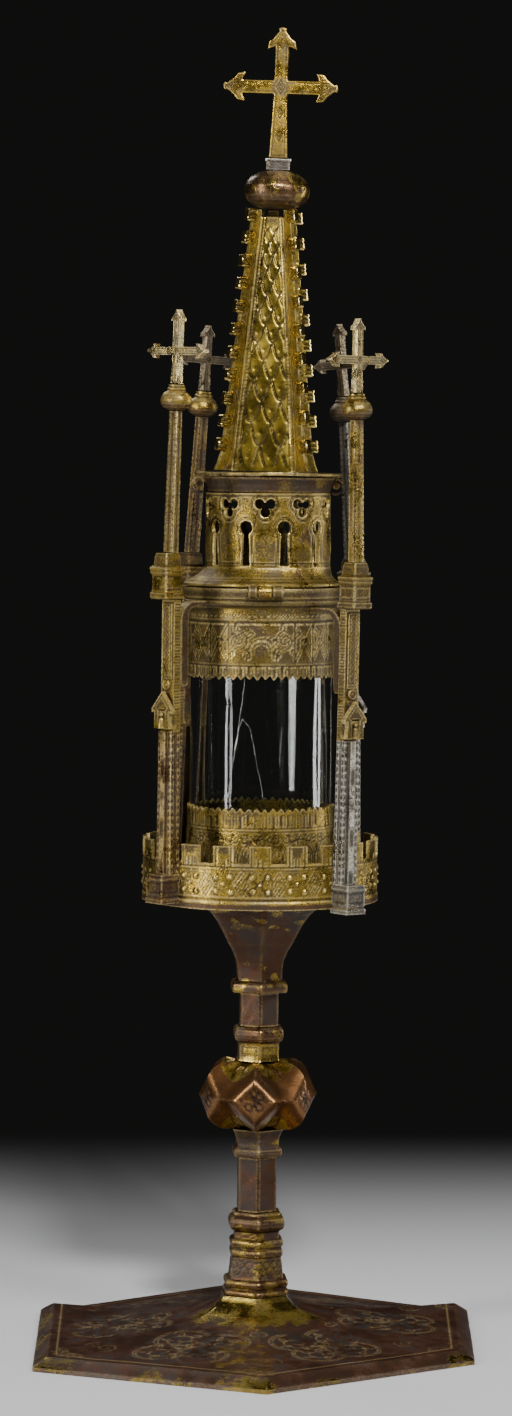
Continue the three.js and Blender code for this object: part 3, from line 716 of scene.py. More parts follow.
stem = {
    'lower_collar': (0.0, [
        (0, 0), (12.3, 0), (12.5, 0.3), (12.5, 1.1), (12.2, 1.5), (11.5, 1.8), (11.5, 2.4), (12.1, 2.8),
        (12.4, 3.3),
        (12.4, 4.3), (12.0, 4.9), (10.9, 5.3), (10.6, 5.8), (9.7, 12.7), (10.0, 12.9), (10.3, 13.4),
        (10.3, 14.6),
        (10.0, 15.1), (9.5, 15.4), (9.5, 16), (10.1, 16.3), (10.3, 16.9), (10.3, 17.9), (9.8, 18.5),
        (8.8, 18.9),
        (8.7, 21.2), (9.3, 21.7), (10.3, 22.3), (10.8, 23.2), (10.8, 24.8), (10.4, 25.8), (9.4, 26.4),
        (9, 26.6), (9.3, 27), (9.2, 27.6), (8.6, 27.9), (0, 27.9),
    ]),
    'lower_shaft': (28.2, [(0, 0), (7.5, 0), (7.5, 18.3), (0, 18.3)]),
    'lower_cup': (46.8, [
        (0, 0), (8.9, 0), (9.4, 0.5), (9.6, 1.4), (9.4, 2.5), (8.7, 3.3), (8.3, 3.9), (8.2, 4.8),
        (8.5, 6.6), (9.3, 8.4), (9.7, 9), (9.9, 9.5), (0, 9.5),
    ]),
    'upper_cup': (79.7, [
        (0, 0), (8.4, 0), (8, 0.8), (7.9, 2), (7.9, 5.9), (8.4, 6.5), (9.2, 7.1), (9.6, 8), (9.7, 9.4),
        (9.4, 10.6), (8.7, 11.4), (7.6, 11.6), (0, 11.6),
    ]),
    'upper_shaft': (91.6, [(0, 0), (7.5, 0), (7.5, 11.2), (0, 11.2)]),
}


def ringStrokes():
    strokes = []
    for x in (-2.9, 2.9):
        strokes += [arcStroke(x - 1.25, 10.4, 1.25, 20, 330), arcStroke(x + 1.25, 10.4, 1.25, -140, 170),
                    arcStroke(x, 8.2, 1.25, 120, 420)]
    return strokes


def stemOrnament(name):
    def ornament(points, normals):
        spots = sectorSpots(points, tower['hexTurn'])
        count = len(points)
        chased, tarnish, gilt = np.zeros(count), np.zeros(count), np.full(count, 0.5)
        reach = hexReach(points, tower['hexTurn'])
        seam = np.abs(np.abs(spots[:, 0]) - reach * 0.5)
        if name == 'lower_collar':
            flat = np.stack([spots[:, 0], points[:, 2]], 1)
            chased = engraved(strokeField(flat, ringStrokes()), 0.42)
            band = ease(points[:, 2], 5.8, 6.4) * (1 - ease(points[:, 2], 12, 12.6))
            tarnish = 0.5 * band * ease(grain(points, 2.2), -0.2, 0.4)
            gilt = 0.55 + 0.2 * grain(points, 6.0)
        if 'shaft' in name:
            chased = engraved(seam, 0.3) * (np.abs(azimuthOf(points) - math.radians(4)) < 0.3)
            tarnish = 0.55 * ease(grain(points, 5.0, 4.0), -0.05, 0.4)
            gilt = np.full(count, 0.3)
        if name == 'upper_shaft':
            dots = [arcStroke(-3.4, 3.0, 1.0, 0, 360), arcStroke(-3.4, 8.4, 1.4, 0, 360),
                    arcStroke(3.4, 3.0, 1.0, 0, 360), arcStroke(3.4, 8.4, 1.2, 0, 360)]
            flat = np.stack([spots[:, 0], points[:, 2]], 1)
            tarnish = np.maximum(tarnish, engraved(strokeField(flat, dots), 1.0))
        if name == 'upper_cup':
            gilt = 0.5 + 0.35 * (1 - ease(points[:, 2], 5.5, 6.5))
            rows = np.minimum(np.abs(points[:, 2] - 2.2), np.abs(points[:, 2] - 4.6))
            chased = engraved(rows, 0.4) * (np.abs(spots[:, 0]) < 2.6)
            chased = np.maximum(chased,
                                engraved(np.abs(np.abs(spots[:, 0]) - 2.6), 0.4) * (points[:, 2] < 5.2))
        dents = 0.16 * grain(points, 5.0, 8.0) * (radiusOf(normals) > 0.4)
        return {'sink': 0.16 * chased + dents, 'chased': chased, 'tarnish': tarnish, 'gilt': gilt}
    return ornament


for name, (level, profile) in stem.items():
    where = storey(stemFrame, (0, 0, level))
    skin = hexSkin(profile, 90, 0.6)
    finish(name.replace('_', '') + 'Skin', skin, where, 'root', name, finishes['stem'],
           stemOrnament(name))
print('stem done')


# Knop: a flattened body drawn out into six lozenge bosses

knop = {
    'level': 56.6,
    'halfHeight': 11.4,
    'body': 14.8,
    'faceReach': 19.9,
    'slope': (0.18, 0.7, 0.69),
    'sideReach': 10.35,
    'softness': 6.0,
}


def knopReach(directions):
    flat = radiusOf(directions)
    up = np.abs(directions[:, 2])
    body = ((flat / knop['body']) ** 2.5 + (up / knop['halfHeight']) ** 2.5) ** (-1 / 2.5)
    reach = body ** 16
    a, b, c = knop['slope']
    azimuth = azimuthOf(directions)
    for index in range(6):
        offset = azimuth - math.radians(60 * index)
        outward, aside = flat * np.cos(offset), np.abs(flat * np.sin(offset))
        planes = np.stack([clamped(outward) / knop['faceReach'],
                           (a * outward + b * aside + c * up) / knop['sideReach']])
        boss = (np.clip(planes, 1e-6, None) ** knop['softness']).sum(0) ** (-1 / knop['softness'])
        boss *= ease(outward, 0.3, 0.6)
        reach += boss ** 16
    return reach ** (1 / 16)


def knopOrnament(points, normals):
    azimuth = azimuthOf(points)
    nearest = np.round(azimuth / (fullTurn / 6)) * fullTurn / 6
    radius = radiusOf(points)
    spots = np.stack([radius * np.sin(azimuth - nearest), points[:, 2]], 1)
    strokes = []
    for quarter in range(4):
        strokes += leafStrokes(0, 0, 90 * quarter + 45, 4.6, 1.3)
        strokes += leafStrokes(0, 0, 90 * quarter, 4.2, 0.8)
        bearing = 90 * quarter
        strokes.append(arcStroke(*polar(0, 0, 2.9, bearing), 1.5, bearing - 100, bearing + 100))
    faceOn = ease(radius, 16.5, 18.0)
    marks = engraved(strokeField(spots, strokes), 0.42) * faceOn * ease(grain(points, 3.0, 2.0), -0.5, 0.0)
    valley = 1 - ease(radius, 13.8, 15.4)
    rays = (engraved(np.abs(np.abs(spots[:, 0]) - np.abs(np.abs(points[:, 2]) - 12.5) * 0.55 - 2.2), 0.4)
            * valley * (np.abs(points[:, 2]) > 4))
    return {'sink': 0.2 * np.maximum(marks, rays) + 0.12 * grain(points, 6.0, 3.0),
            'chased': np.maximum(marks, rays),
            'tarnish': 0.45 * valley * ease(grain(points, 3.4, 7.0), -0.1, 0.4), 'gilt': 0.3 + 0.5 * valley}


def buildKnop():
    bm = bmesh.new()
    bmesh.ops.create_uvsphere(bm, u_segments=168, v_segments=84, radius=1)
    points = readPoints(bm)
    directions = points / np.linalg.norm(points, axis=1, keepdims=True)
    points = directions * knopReach(directions)[:, None]
    points[:, 2] = np.clip(points[:, 2], -knop['halfHeight'], knop['halfHeight'])
    movePoints(bm, points)
    where = storey(stemFrame, (0, 0, knop['level'] + knop['halfHeight']), 0, tower['knopTurn'])
    return finish('knopBosses', bm, where, 'root', 'knop', finishes['knop'], knopOrnament)


buildKnop()
print('knop done')


# Calyx: a hexagonal funnel that spreads to carry the gallery

calyx = {
    'level': 103.1,
    'profile': [
        (0, 0), (10.4, 0), (10.8, 0.3), (10.95, 1.0), (10.95, 2.6), (10.6, 3.2), (10.1, 3.6), (9.1, 3.9),
        (8.8, 4.3), (9, 8),
        (9.5, 11), (10.8, 14), (12.8, 17), (14.8, 20.6), (16.9, 24), (19.3, 27), (21.9, 29.3), (23.2, 30.2),
        (23.8, 30.9), (23.8, 31.5), (0, 31.5),
    ],
}


def calyxOrnament(points, normals):
    worn = ease(points[:, 2], 18, 26) * ease(grain(points * [1, 1, 2.4], 5.0, 6.0), -0.1, 0.3)
    low = (1 - ease(points[:, 2], 7, 11)) * ease(grain(points, 3.0, 2.0), -0.1, 0.3)
    return {'sink': 0.12 * grain(points, 7.0, 2.0), 'gilt': clamped(0.34 + 0.5 * worn + 0.35 * low),
            'tarnish': 0.5 * ease(grain(points, 6.0, 14.0), 0.15, 0.4)}


finish('calyxFunnel', hexSkin(calyx['profile'], 120, 0.7), storey(stemFrame, (0, 0, calyx['level'])),
       'root', 'calyx', finishes['stem'], calyxOrnament)
print('calyx done')


# Gallery: a shallow tray with merlons, engraved with lozenges and punched with small bosses

gallery = {
    'radius': 40.5,
    'height': 21.4,
    'wall': 1.4,
    'merlons': 20,
    'halfMerlon': 3.75,
    'sill': 15.6,
    'spacing': 0.54,
    'lines': (14.4, 13.6, 3.9, 3.1),
}
galleryPitch = fullTurn * gallery['radius'] / gallery['merlons']


def fromMerlon(spots):
    return np.mod(spots[:, 0] + galleryPitch / 2, galleryPitch) - galleryPitch / 2


def galleryField(spots):
    return np.minimum(spots[:, 1] - gallery['sill'], np.abs(fromMerlon(spots)) - gallery['halfMerlon'])


# Around a wall: distance along it from the front, and height
def unrolled(points, radius):
    return np.stack([azimuthOf(points) * radius, points[:, 2]], 1)


# A cut line and, as the second value, a painted highlight along both its flanks
def cutLine(distance, width=0.32):
    return engraved(distance, width), engraved(distance - 0.5, 0.3) * 0.5


def galleryOrnament(points, normals):
    spots = unrolled(points, gallery['radius'])
    wall = radiusOf(points) > 36
    across = fromMerlon(spots)
    between = np.mod(spots[:, 0], galleryPitch) - galleryPitch / 2
    distance = np.min([np.abs(spots[:, 1] - line) for line in gallery['lines']], axis=0)
    outline = np.abs(galleryField(spots) + 1.0)
    distance = np.minimum(distance, np.where(spots[:, 1] > 14.8, outline, farOff))
    ticks = np.abs(np.abs(across) - 0.7) + np.where((spots[:, 1] > 14.8) & (spots[:, 1] < 17.5), 0, farOff)
    distance = np.minimum(distance, ticks)
    lozenge = np.abs(between) / 2.5 + np.abs(spots[:, 1] - 8.6) / 3.9
    rims = np.minimum(np.abs(lozenge - 1) * 2.1, np.abs(lozenge - 0.55) * 2.1)
    distance = np.minimum(distance, rims)
    beads = [(-2.6, 10.9, 1.15), (2.5, 11.1, 1.1), (-2.5, 6.3, 1.1), (2.7, 6.0, 1.2), (0.0, 8.7, 0.8)]
    swell, shade = np.zeros(len(points)), np.zeros(len(points))
    for x, y, size in beads:
        away = np.hypot(across - x, spots[:, 1] - y)
        swell = np.maximum(swell, 0.5 * (1 - ease(away, size * 0.2, size)))
        shade = np.maximum(shade, engraved(away - size - 0.1, 0.3))
    front = ease(np.abs(spots[:, 0] + 0.5), 5.2, 4.4)
    dark = (front
            * engraved(np.abs(np.abs(np.abs(spots[:, 0] + 0.5) - 3.0) / 2.5
                              + np.abs(spots[:, 1] - 8.6) / 3.6 - 1) * 2, 0.7))
    chased, paleMarkAndHighlight = cutLine(distance)
    outside = looksOut(points, normals) & wall
    # Each boss gets a painted ring of shade round its foot, carried in the engraved-line mask, and a
    # painted highlight on its crown; a painted highlight also runs beside each cut line
    chased = np.maximum(np.maximum(chased, 0.8 * shade), dark) * outside
    paleMarkAndHighlight = paleMarkAndHighlight * outside + 0.6 * ease(swell, 0.2, 0.5)
    burnt = ease(spots[:, 1], 17.6, 20.2) * ease(grain(points, 6.0, 5.0), -0.6, -0.1)
    footBand = (1 - ease(spots[:, 1], 1.2, 2.4)) * 0.85
    tarnish = clamped(0.75 * (1 - outside) + burnt + footBand * wall
                      + 0.45 * ease(grain(points, 9.0, 2.0), 0.0, 0.45))
    taper = 0.2 * ease(points[:, 2], 2.3, 2.9) * outside
    dents = 0.18 * grain(points, 12.0, 8.0) * wall
    return {'sink': taper + 0.2 * chased - swell * outside + dents * outside, 'chased': chased,
            'paleMarkAndHighlight': paleMarkAndHighlight, 'tarnish': tarnish,
            'gilt': clamped(0.62 - 0.6 * footBand + 0.25 * grain(points, 14.0, 1.0))}


def buildGallery():
    around = fullTurn * gallery['radius']
    sheet = stencilled(around, gallery['height'], gallery['spacing'], galleryField,
                       (0, gallery['height'] / 2))
    tray = rolled(thicken(sheet, gallery['wall']), gallery['radius'])
    floor = spunSkin([(0, 0.02), (39.7, 0.02), (39.7, 1.6), (0, 1.6)], 96, 5)
    joinInto(tray, floor)
    return finish('galleryTray', tray, shrineFrame, 'root', 'gallery', finishes['gold'],
                  galleryOrnament, crease=35)


buildGallery()
print('gallery done')


# Mounts of the glass: toothed bands, engraved with fringes, scrolls and lattices

mounts = {
    'radius': 25.2,
    'wall': 0.7,
    'lower': {'level': 1.9, 'height': 31.1, 'lines': (24.0, 23.2)},
    'upper': {'level': 76.0, 'height': 25.4, 'lines': (4.9, 5.7, 19.4, 20.2)},
    'drum': [(25.2, 24.2), (26.7, 25.6), (26.8, 26), (26.8, 26.6), (26.5, 26.9), (26.5, 27.3), (26.8, 27.6),
             (26.8, 30.4), (26.5, 31), (22.8, 31), (22.7, 30.6), (22.7, 25.2), (24.5, 24.2)],
    'teeth': 56,
    'tooth': 1.5,
    'spacing': 0.54,
}


def toothField(up, height):
    pitch = fullTurn * mounts['radius'] / mounts['teeth']

    def field(spots):
        saw = np.abs(np.mod(spots[:, 0], pitch) / pitch * 2 - 1)
        wobble = 0.12 * np.sin(spots[:, 0] * 0.9) + 0.1 * np.sin(spots[:, 0] * 2.3 + 1)
        edge = mounts['tooth'] * saw + wobble + 0.2
        return spots[:, 1] - height + edge if up else edge - spots[:, 1]
    return field


def lowerMotifs():
    strokes = []
    for bay in range(-5, 6):
        x = bay * 14.4
        strokes.append([(x - 6.5, 4), (x - 6.5, 14)] + arcStroke(x, 14, 6.5, 180, 0, 16) + [(x + 6.5, 4)])
        strokes.append(arcStroke(x, 13.5, 4.4, 200, -20, 16))
        strokes += [[(x - 3.4, 9), (x + 3.4, 16)], [(x + 3.4, 9), (x - 3.4, 16)]]
        strokes += leafStrokes(x, 17.5, 90, 4.5, 1.3)
        for side in (-1, 1):
            strokes += leafStrokes(x + side * 2.2, 19.6, 90 - side * 50, 3.6, 0.8)
            strokes.append(spiralStroke(x + side * 5.6, 20.3, 1.7, 0.4, 90, side * 1.2, 14))
    return strokes


def upperMotifs():
    strokes = []
    for side in (-1, 1):
        for cell in range(3):
            x = side * (15.5 + cell * 7.4)
            strokes += [[(x - 3.4, 6.6), (x + 3.4, 18.6)], [(x + 3.4, 6.6), (x - 3.4, 18.6)],
                        [(x - 3.7, 6), (x - 3.7, 19.2)], [(x + 3.7, 6), (x + 3.7, 19.2)]]
            strokes.append(arcStroke(x, 12.6, 1.5, 0, 360, 12))
        strokes.append(spiralStroke(side * 8.2, 13.2, 3.7, 0.5, 90, side * 1.7))
        for bearing in (30, 100, 170, 240, 310):
            strokes += leafStrokes(*polar(side * 8.2, 13, 3.6, bearing), bearing, 2.6, 0.6)
        strokes += leafStrokes(side * 4.2, 7.6, 90 - side * 25, 4.0, 0.9)
        for bay in range(3):
            x = side * (42 + bay * 13)
            strokes.append(spiralStroke(x, 12.4, 4.4, 0.6, 200, 1.8))
            for bearing in (20, 110, 200, 290):
                strokes += leafStrokes(*polar(x, 12.4, 4, bearing), bearing + 40, 3.0, 0.8)
    strokes.append(arcStroke(0, 9.5, 4.6, 170, 10, 16))
    strokes.append(arcStroke(0, 9.5, 3.2, 190, -10, 16))
    strokes.append([(-4.6, 9.8), (-5.4, 6.2)])
    strokes.append([(4.6, 9.8), (5.4, 6.2)])
    return strokes


def mountOrnament(which):
    motifs = upperMotifs() if which == 'upper' else lowerMotifs()

    def ornament(points, normals):
        spots = unrolled(points, mounts['radius'])
        outside = looksOut(points, normals)
        distance = strokeField(spots, motifs)
        distance = np.minimum(distance,
                              np.min([np.abs(spots[:, 1] - line) for line in mounts[which]['lines']],
                                     axis=0))
        comb = np.abs(np.mod(spots[:, 0], 2.83) - 1.0)
        comb = np.minimum(comb, np.abs(np.mod(spots[:, 0], 2.83) - 1.75))
        low, high = (1.9, 4.5) if which == 'upper' else (24.4, 28.4)
        reach = spots[:, 1] + 0.5 * np.sin(spots[:, 0] * 1.7)
        distance = np.minimum(distance, np.where((reach > low) & (reach < high), comb, farOff))
        if which == 'upper':
            small = np.abs(np.abs(np.mod(spots[:, 0], 2.1) - 1.05) - np.abs(spots[:, 1] - 21.6)) * 0.7
            distance = np.minimum(distance, np.where(np.abs(spots[:, 1] - 21.6) < 0.9, small, farOff))
        # The second value of each cut line is a painted highlight beside it
        chased, paleMarkAndHighlight = cutLine(distance, 0.3)
        chased, paleMarkAndHighlight = chased * outside, paleMarkAndHighlight * outside
        stain = 0.5 * ease(grain(points, 7.0, 3.0), 0.0, 0.4)
        if which == 'upper':
            stain = np.maximum(stain, ease(spots[:, 1], 23, 25.5))
            middle = np.hypot(spots[:, 0] + 0.4, (spots[:, 1] - 10.5) * 0.8)
            stain = np.maximum(stain, 0.95 * (1 - ease(middle, 1.8, 3.6)))
            stain = np.maximum(stain,
                               0.8 * ease(np.abs(spots[:, 0]), 21, 27)
                               * ease(grain(points, 4.0, 5.0), -0.4, 0.2))
        else:
            stain = np.maximum(stain,
                               0.6 * (1 - ease(spots[:, 1], 15, 22))
                               * ease(grain(points, 3.0, 5.0), -0.2, 0.3))
        return {'sink': 0.16 * chased + 0.1 * grain(points, 9.0, 6.0) * outside, 'chased': chased,
                'paleMarkAndHighlight': paleMarkAndHighlight,
                'tarnish': clamped(stain + 0.5 * (1 - outside)),
                'gilt': 0.6 + 0.3 * grain(points, 10.0, 4.0)}
    return ornament


hinge = {
    'forward': 29.4,
    'height': 106.0,
    'knuckle': 2.2,
    'bore': 1.15,
    'left': (-4.6, -1.55),
    'middle': (-1.25, 3.35),
    'right': (3.65, 7.2),
}


# A hinge knuckle lying along X, softened at its ends, with the leaf that ties it to the wall behind
def knuckleSkin(span, level, leafDrop):
    start, end = span
    length = end - start
    outer, bore, soft = hinge['knuckle'], hinge['bore'], 0.35
    profile = [(bore, 0.15), (bore + 0.15, 0), (outer - soft, 0), (outer, soft), (outer, length - soft),
               (outer - soft, length), (bore + 0.15, length), (bore, length - 0.15), (bore, 0.15)]
    bm = spunSkin(profile, 40, 0.5)
    bmesh.ops.transform(bm,
                        matrix=Matrix.Translation((start, -hinge['forward'], level))
                        @ Matrix.Rotation(math.pi / 2, 4, 'Y'), verts=bm.verts)
    leaf = bmesh.new()
    bmesh.ops.create_cube(leaf, size=1)
    bmesh.ops.scale(leaf, vec=(length - 0.2, 3.6, 0.9), verts=leaf.verts)
    bmesh.ops.translate(leaf, vec=(start + length / 2, 0.9 + 2.4 - hinge['forward'], level + leafDrop),
                        verts=leaf.verts)
    bmesh.ops.bevel(leaf, geom=leaf.edges[:], offset=0.22, affect='EDGES', segments=2, profile=0.5,
                    material=-1)
    return joinInto(bm, leaf)


def buildMount(which):
    spec = mounts[which]
    up = which == 'lower'
    around = fullTurn * mounts['radius']
    sheet = stencilled(around, spec['height'], mounts['spacing'], toothField(up, spec['height']),
                       (0, spec['height'] / 2))
    wall = rolled(thicken(sheet, mounts['wall']), mounts['radius'])
    if up:
        joinInto(wall,
                 spunSkin([(0, 0), (25.2, 0), (25.6, 0.3), (25.6, 1.0), (25.2, 1.3), (24.6, 0.8), (0, 0.8)],
                          96, 3))
    else:
        ring = spunSkin(mounts['drum'] + [mounts['drum'][0]], 160, 0.8)
        joinInto(wall, ring)
        for side in ('left', 'right'):
            joinInto(wall, knuckleSkin(hinge[side], hinge['height'] - spec['level'], -1.55))
    where = storey(shrineFrame, (0, 0, spec['level']))
    material = finishes['gold'] if up else finishes['mount']
    return finish(which + 'MountBand', wall, where, 'root', which + '_mount', material,
                  mountOrnament(which), crease=35)


buildMount('lower')
buildMount('upper')
print('mounts done')


# Glass: a hand-made tube with three old cracks

glass = {'outer': 24.25, 'inner': 22.35, 'level': 3.0, 'height': 97.7}


def glassMaterial():
    material = bpy.data.materials.new('clearGlass')
    material.use_nodes = True
    tree = material.node_tree
    shader = tree.nodes['Principled BSDF']
    shader.inputs['Base Color'].default_value = (0.96, 0.98, 0.97, 1)
    shader.inputs['Metallic'].default_value = 0.0
    shader.inputs['Transmission Weight'].default_value = 1.0
    shader.inputs['Roughness'].default_value = 0.02
    shader.inputs['IOR'].default_value = 1.48
    coords = addNode(tree, 'ShaderNodeTexCoord')
    wave = addNode(tree, 'ShaderNodeTexNoise', {'Scale': 45.0, 'Detail': 1.0})
    tree.links.new(coords.outputs['Object'], wave.inputs['Vector'])
    bump = addNode(tree, 'ShaderNodeBump', {'Strength': 0.04, 'Distance': 0.0008})
    tree.links.new(wave.outputs['Fac'], bump.inputs['Height'])
    tree.links.new(bump.outputs['Normal'], shader.inputs['Normal'])
    return material


def crackMaterial():
    material = bpy.data.materials.new('crackedEdge')
    material.use_nodes = True
    tree = material.node_tree
    shader = tree.nodes['Principled BSDF']
    coords = addNode(tree, 'ShaderNodeTexCoord')
    speck = addNode(tree, 'ShaderNodeTexNoise', {'Scale': 900.0, 'Detail': 3.0})
    tree.links.new(coords.outputs['Object'], speck.inputs['Vector'])
    hue = blendColours(tree, ramped(tree, speck.outputs['Fac'], 0.4, 0.6), (0.16, 0.16, 0.15, 1),
                       (0.75, 0.74, 0.7, 1))
    tree.links.new(hue, shader.inputs['Base Color'])
    shader.inputs['Roughness'].default_value = 0.35
    return material


def glassOrnament(points, normals):
    azimuth = azimuthOf(points)
    waver = 0.06 * np.sin(3 * azimuth + points[:, 2] / 30) + 0.04 * np.sin(7 * azimuth - points[:, 2] / 17)
    return {'sink': waver}


def buildGlass():
    inner, outer, height = glass['inner'], glass['outer'], glass['height']
    bm = spunSkin([(inner, 0), (outer, 0), (outer, height), (inner, height), (inner, 0)], 144, 4)
    finish('glassTube', bm, storey(shrineFrame, (0, 0, glass['level'])), 'root', 'glass_cylinder',
           glassMaterial(), glassOrnament)


# Each crack is a thin strip on the glass: points are azimuth in degrees, height, and half width
glass['cracks'] = [
    [(-13, 73.5, 0.1), (-15.5, 66, 0.14), (-18, 58, 0.12), (-20.5, 51, 0.4), (-22, 47, 0.14),
     (-25, 40, 0.12), (-27, 34, 0.25), (-28.5, 31, 0.1)],
    [(-19, 56, 0.06), (-15, 60, 0.12), (-9, 57, 0.08), (-6, 51, 0.06), (-3, 44, 0.06), (0, 38, 0.06),
     (2, 33, 0.09)],
    [(17, 57, 0.06), (15.5, 50, 0.08), (15, 44, 0.06)],
]


def buildCracks():
    bm = bmesh.new()
    for crack in glass['cracks']:
        rows = []
        for degrees, height, width in finely(crack, 1.2):
            sway = 0.7 * noise.noise(Vector((degrees, height, 4.0)) / 2.0)
            angle = math.radians(degrees + sway)
            reach = glass['outer'] + 0.02
            spread = width * (0.5 + abs(noise.noise(Vector((height, degrees, 1.0)) / 1.7))) / reach
            rows.append([bm.verts.new((reach * math.sin(angle + side * spread),
                                       -reach * math.cos(angle + side * spread), height))
                         for side in (-1, 1)])
        for first, second in zip(rows, rows[1:]):
            bm.faces.new((first[0], first[1], second[1], second[0]))
    bmesh.ops.solidify(bm, geom=bm.faces[:], thickness=0.08)
    finish('glassCracks', bm, storey(shrineFrame, (0, 0, glass['level'])), 'root', None, crackMaterial())


buildGlass()
buildCracks()
print('glass done')


# Corners: moulded plinths, ribbed piers ticked like ladders, gabled canopies, capitals, pinnacles,
# and small crosses

buttress = {
    'plinth': [(0, 8.2), (0.7, 8.3), (1.2, 8.6), (1.6, 8.3), (2, 7.6), (3, 8), (7.4, 7.8), (7.7, 8.3),
               (8.2, 8.6), (8.8, 8.1), (9.7, 7.4)],
    'pier': [(9.6, 7.3), (57.8, 6.8)],
    'rib': [(9.6, 2.4), (57.8, 2.2)],
    'stage': [(57.7, 6.6), (101.9, 6.4)],
    'gable': [(-3.7, 58.6), (-3.5, 64.4), (-4.8, 63.9), (-5.0, 65.3), (-0.7, 70.2), (0, 71.2), (0.7, 70.2),
              (5.0, 65.3), (4.8, 63.9), (3.5, 64.4), (3.7, 58.6)],
    'ladder': 2.3,
    'panel': (2.1, 75.5, 100.5),
    'capital': [(0, 7.6), (0.3, 8.3), (0.6, 8.6), (2, 8.6), (2.3, 8.0), (2.8, 7.6), (8, 7.6), (8.4, 8.2),
                (9, 8.6), (9.4, 8.3), (10.0, 8.8), (10.6, 8.8),
                (11, 7.6), (11.4, 6.8), (14.2, 6.4), (15.4, 5.6)],
    'shaft': [(0, 4.9), (47.5, 4.1)],
    'ball': [(0, 0), (1.6, 0), (2.9, 0.15), (4.4, 1), (5.2, 2.1), (5.4, 3.3), (5.1, 4.5), (4.3, 5.7),
             (3.3, 6.4), (2.9, 6.7), (3.1, 7.0), (3.1, 7.4), (2.7, 7.8), (2.7, 8.6), (0, 8.6)],
}
smallCross = {'reach': 13.4, 'down': 11.1, 'bar': 1.55, 'foot': 1.9, 'leaf': 4.6, 'ear': 2.7}
looks = {
    'front_left': {'base': 'brown', 'stage': 'gold', 'capital': 'gold', 'shaft': 'mount', 'ball': 'gold',
                   'cross': 'pale'},
    # The front-right pier's silvery base is partly a painted reflection
    'front_right': {'base': 'silverAndReflection', 'stage': 'mount', 'capital': 'mount', 'shaft': 'gold',
                    'ball': 'mount', 'cross': 'pale'},
    'back_right': {'base': 'silverAndReflection', 'stage': 'silverAndReflection', 'capital': 'grey', 'shaft': 'silverAndReflection',
                   'ball': 'grey', 'cross': 'grey'},
    'back_left': {'base': 'brown', 'stage': 'brown', 'capital': 'brown', 'shaft': 'brown', 'ball': 'gold',
                  'cross': 'grey'},
}


def ladderLines(spots, halfWidth, pitch):
    margin = halfWidth - np.abs(spots[:, 0])
    rungs = np.abs(np.mod(spots[:, 1], pitch) - pitch / 2)
    inBand = (margin > 0.15) & (margin < 1.5)
    return np.minimum(np.where(inBand, rungs, farOff), np.abs(margin - 1.6))


def pierOrnament(points, normals):
    across, inward, height = points.T
    front = normals[:, 1] < -0.6
    back = normals[:, 1] > 0.6
    sides = np.abs(normals[:, 0]) > 0.6
    shaftZone = (height > 10.2) & (height < 57.6)
    frontSpots = np.stack([across, height], 1)
    sideSpots = np.stack([inward - 2.0, height], 1)
    distance = np.where(front, ladderLines(frontSpots, 3.5, buttress['ladder']), farOff)
    distance = np.where(sides, ladderLines(sideSpots, 2.1, buttress['ladder']), distance)
    distance = np.where(shaftZone, distance, farOff)
    panel = np.abs(slabField(np.stack([np.where(sides, inward, across), height], 1), 0, 5.3, 2.9, 1.5))
    distance = np.where((height < 8) & ~back, panel, distance)
    chased = engraved(distance, 0.46)
    slot = slabField(frontSpots, 0, 36.2, 1.8, 25.4)
    hollow = 1.5 * back * ease(slot, 0.15, -0.25)
    onRib = front & (np.abs(across) < 1.1) & (inward < -0.6) & shaftZone
    margin = np.where(sides, 2.1 - np.abs(inward - 2.0), 3.5 - np.abs(across))
    band = ease(margin, 0.1, 0.3) * (1 - ease(margin, 1.3, 1.6)) * shaftZone * (front | sides)
    rust = 0.8 * ease(grain(points, 5.0, 3.0), 0.0, 0.3) * shaftZone * ~onRib
    rungs = chased * (height > 10)
    return {'sink': 0.14 * chased + hollow + 0.06 * grain(points, 6.0, 4.0),
            'chased': np.where(band > 0.3, 0.75 * (1 - rungs), chased),
            'paleMarkAndHighlight': clamped(0.95 * band * rungs + 0.6 * onRib * ease(grain(points, 7.0, 2.0), -0.3, 0.2)),
            'tarnish': clamped(rust + 0.8 * (hollow > 0.3) + 0.5 * (1 - ease(height, 0.3, 1.4))),
            'gilt': clamped(0.5 + 0.35 * grain(points, 12.0, 5.0) + 0.25 * ease(height, 50, 57))}


def stageOrnament(points, normals):
    across, inward, height = points.T
    front = normals[:, 1] < -0.6
    sides = np.abs(normals[:, 0]) > 0.6
    sideSpots = np.stack([inward - 2.5, height], 1)
    ticks = np.abs(np.mod(height, 1.95) - 0.97)
    distance = np.where(sides & (np.abs(sideSpots[:, 0]) < 1.3), ticks, farOff)
    halfWidth, low, high = buttress['panel']
    panel = slabField(np.stack([across, height], 1), 0, (low + high) / 2, halfWidth, (high - low) / 2)
    border = np.minimum(np.abs(panel + 0.4), np.abs(panel - 0.5))
    distance = np.where(front & (inward < 1.2) & (height > 74.5), np.minimum(border, distance), distance)
    beads = 0.5 + 0.5 * np.sin(height * 4.2) * np.sin(across * 4.2 + 1.5 * np.sin(height))
    stipple = front * ease(panel, 0.1, -0.5) * beads
    gableSpots = np.stack([across, height], 1)
    onGable = front & (inward < 0) & (height < 72)
    trim = np.abs(polygonField(gableSpots, buttress['gable']) + 0.7)
    distance = np.where(onGable & (height > 63), np.minimum(distance, trim), distance)
    # Painted highlight beside each cut line
    chased, paleMarkAndHighlight = cutLine(distance, 0.32)
    sunk = 0.14 * chased - 0.16 * stipple
    edges = ease(np.abs(across), 2.4, 3.1) * front * (height > 74)
    rust = np.maximum(0.75 * edges, 0.55 * ease(grain(points, 5.0, 7.0), 0.05, 0.35))
    return {'sink': sunk,
            'chased': np.maximum(chased, 0.5 * front * ease(panel, 0.1, -0.5) * (beads < 0.35)),
            'paleMarkAndHighlight': paleMarkAndHighlight * 0.8, 'tarnish': clamped(rust + 0.36 * sides * (distance > 0.6)),
            'gilt': clamped(0.6 + 0.35 * grain(points, 8.0, 2.0))}


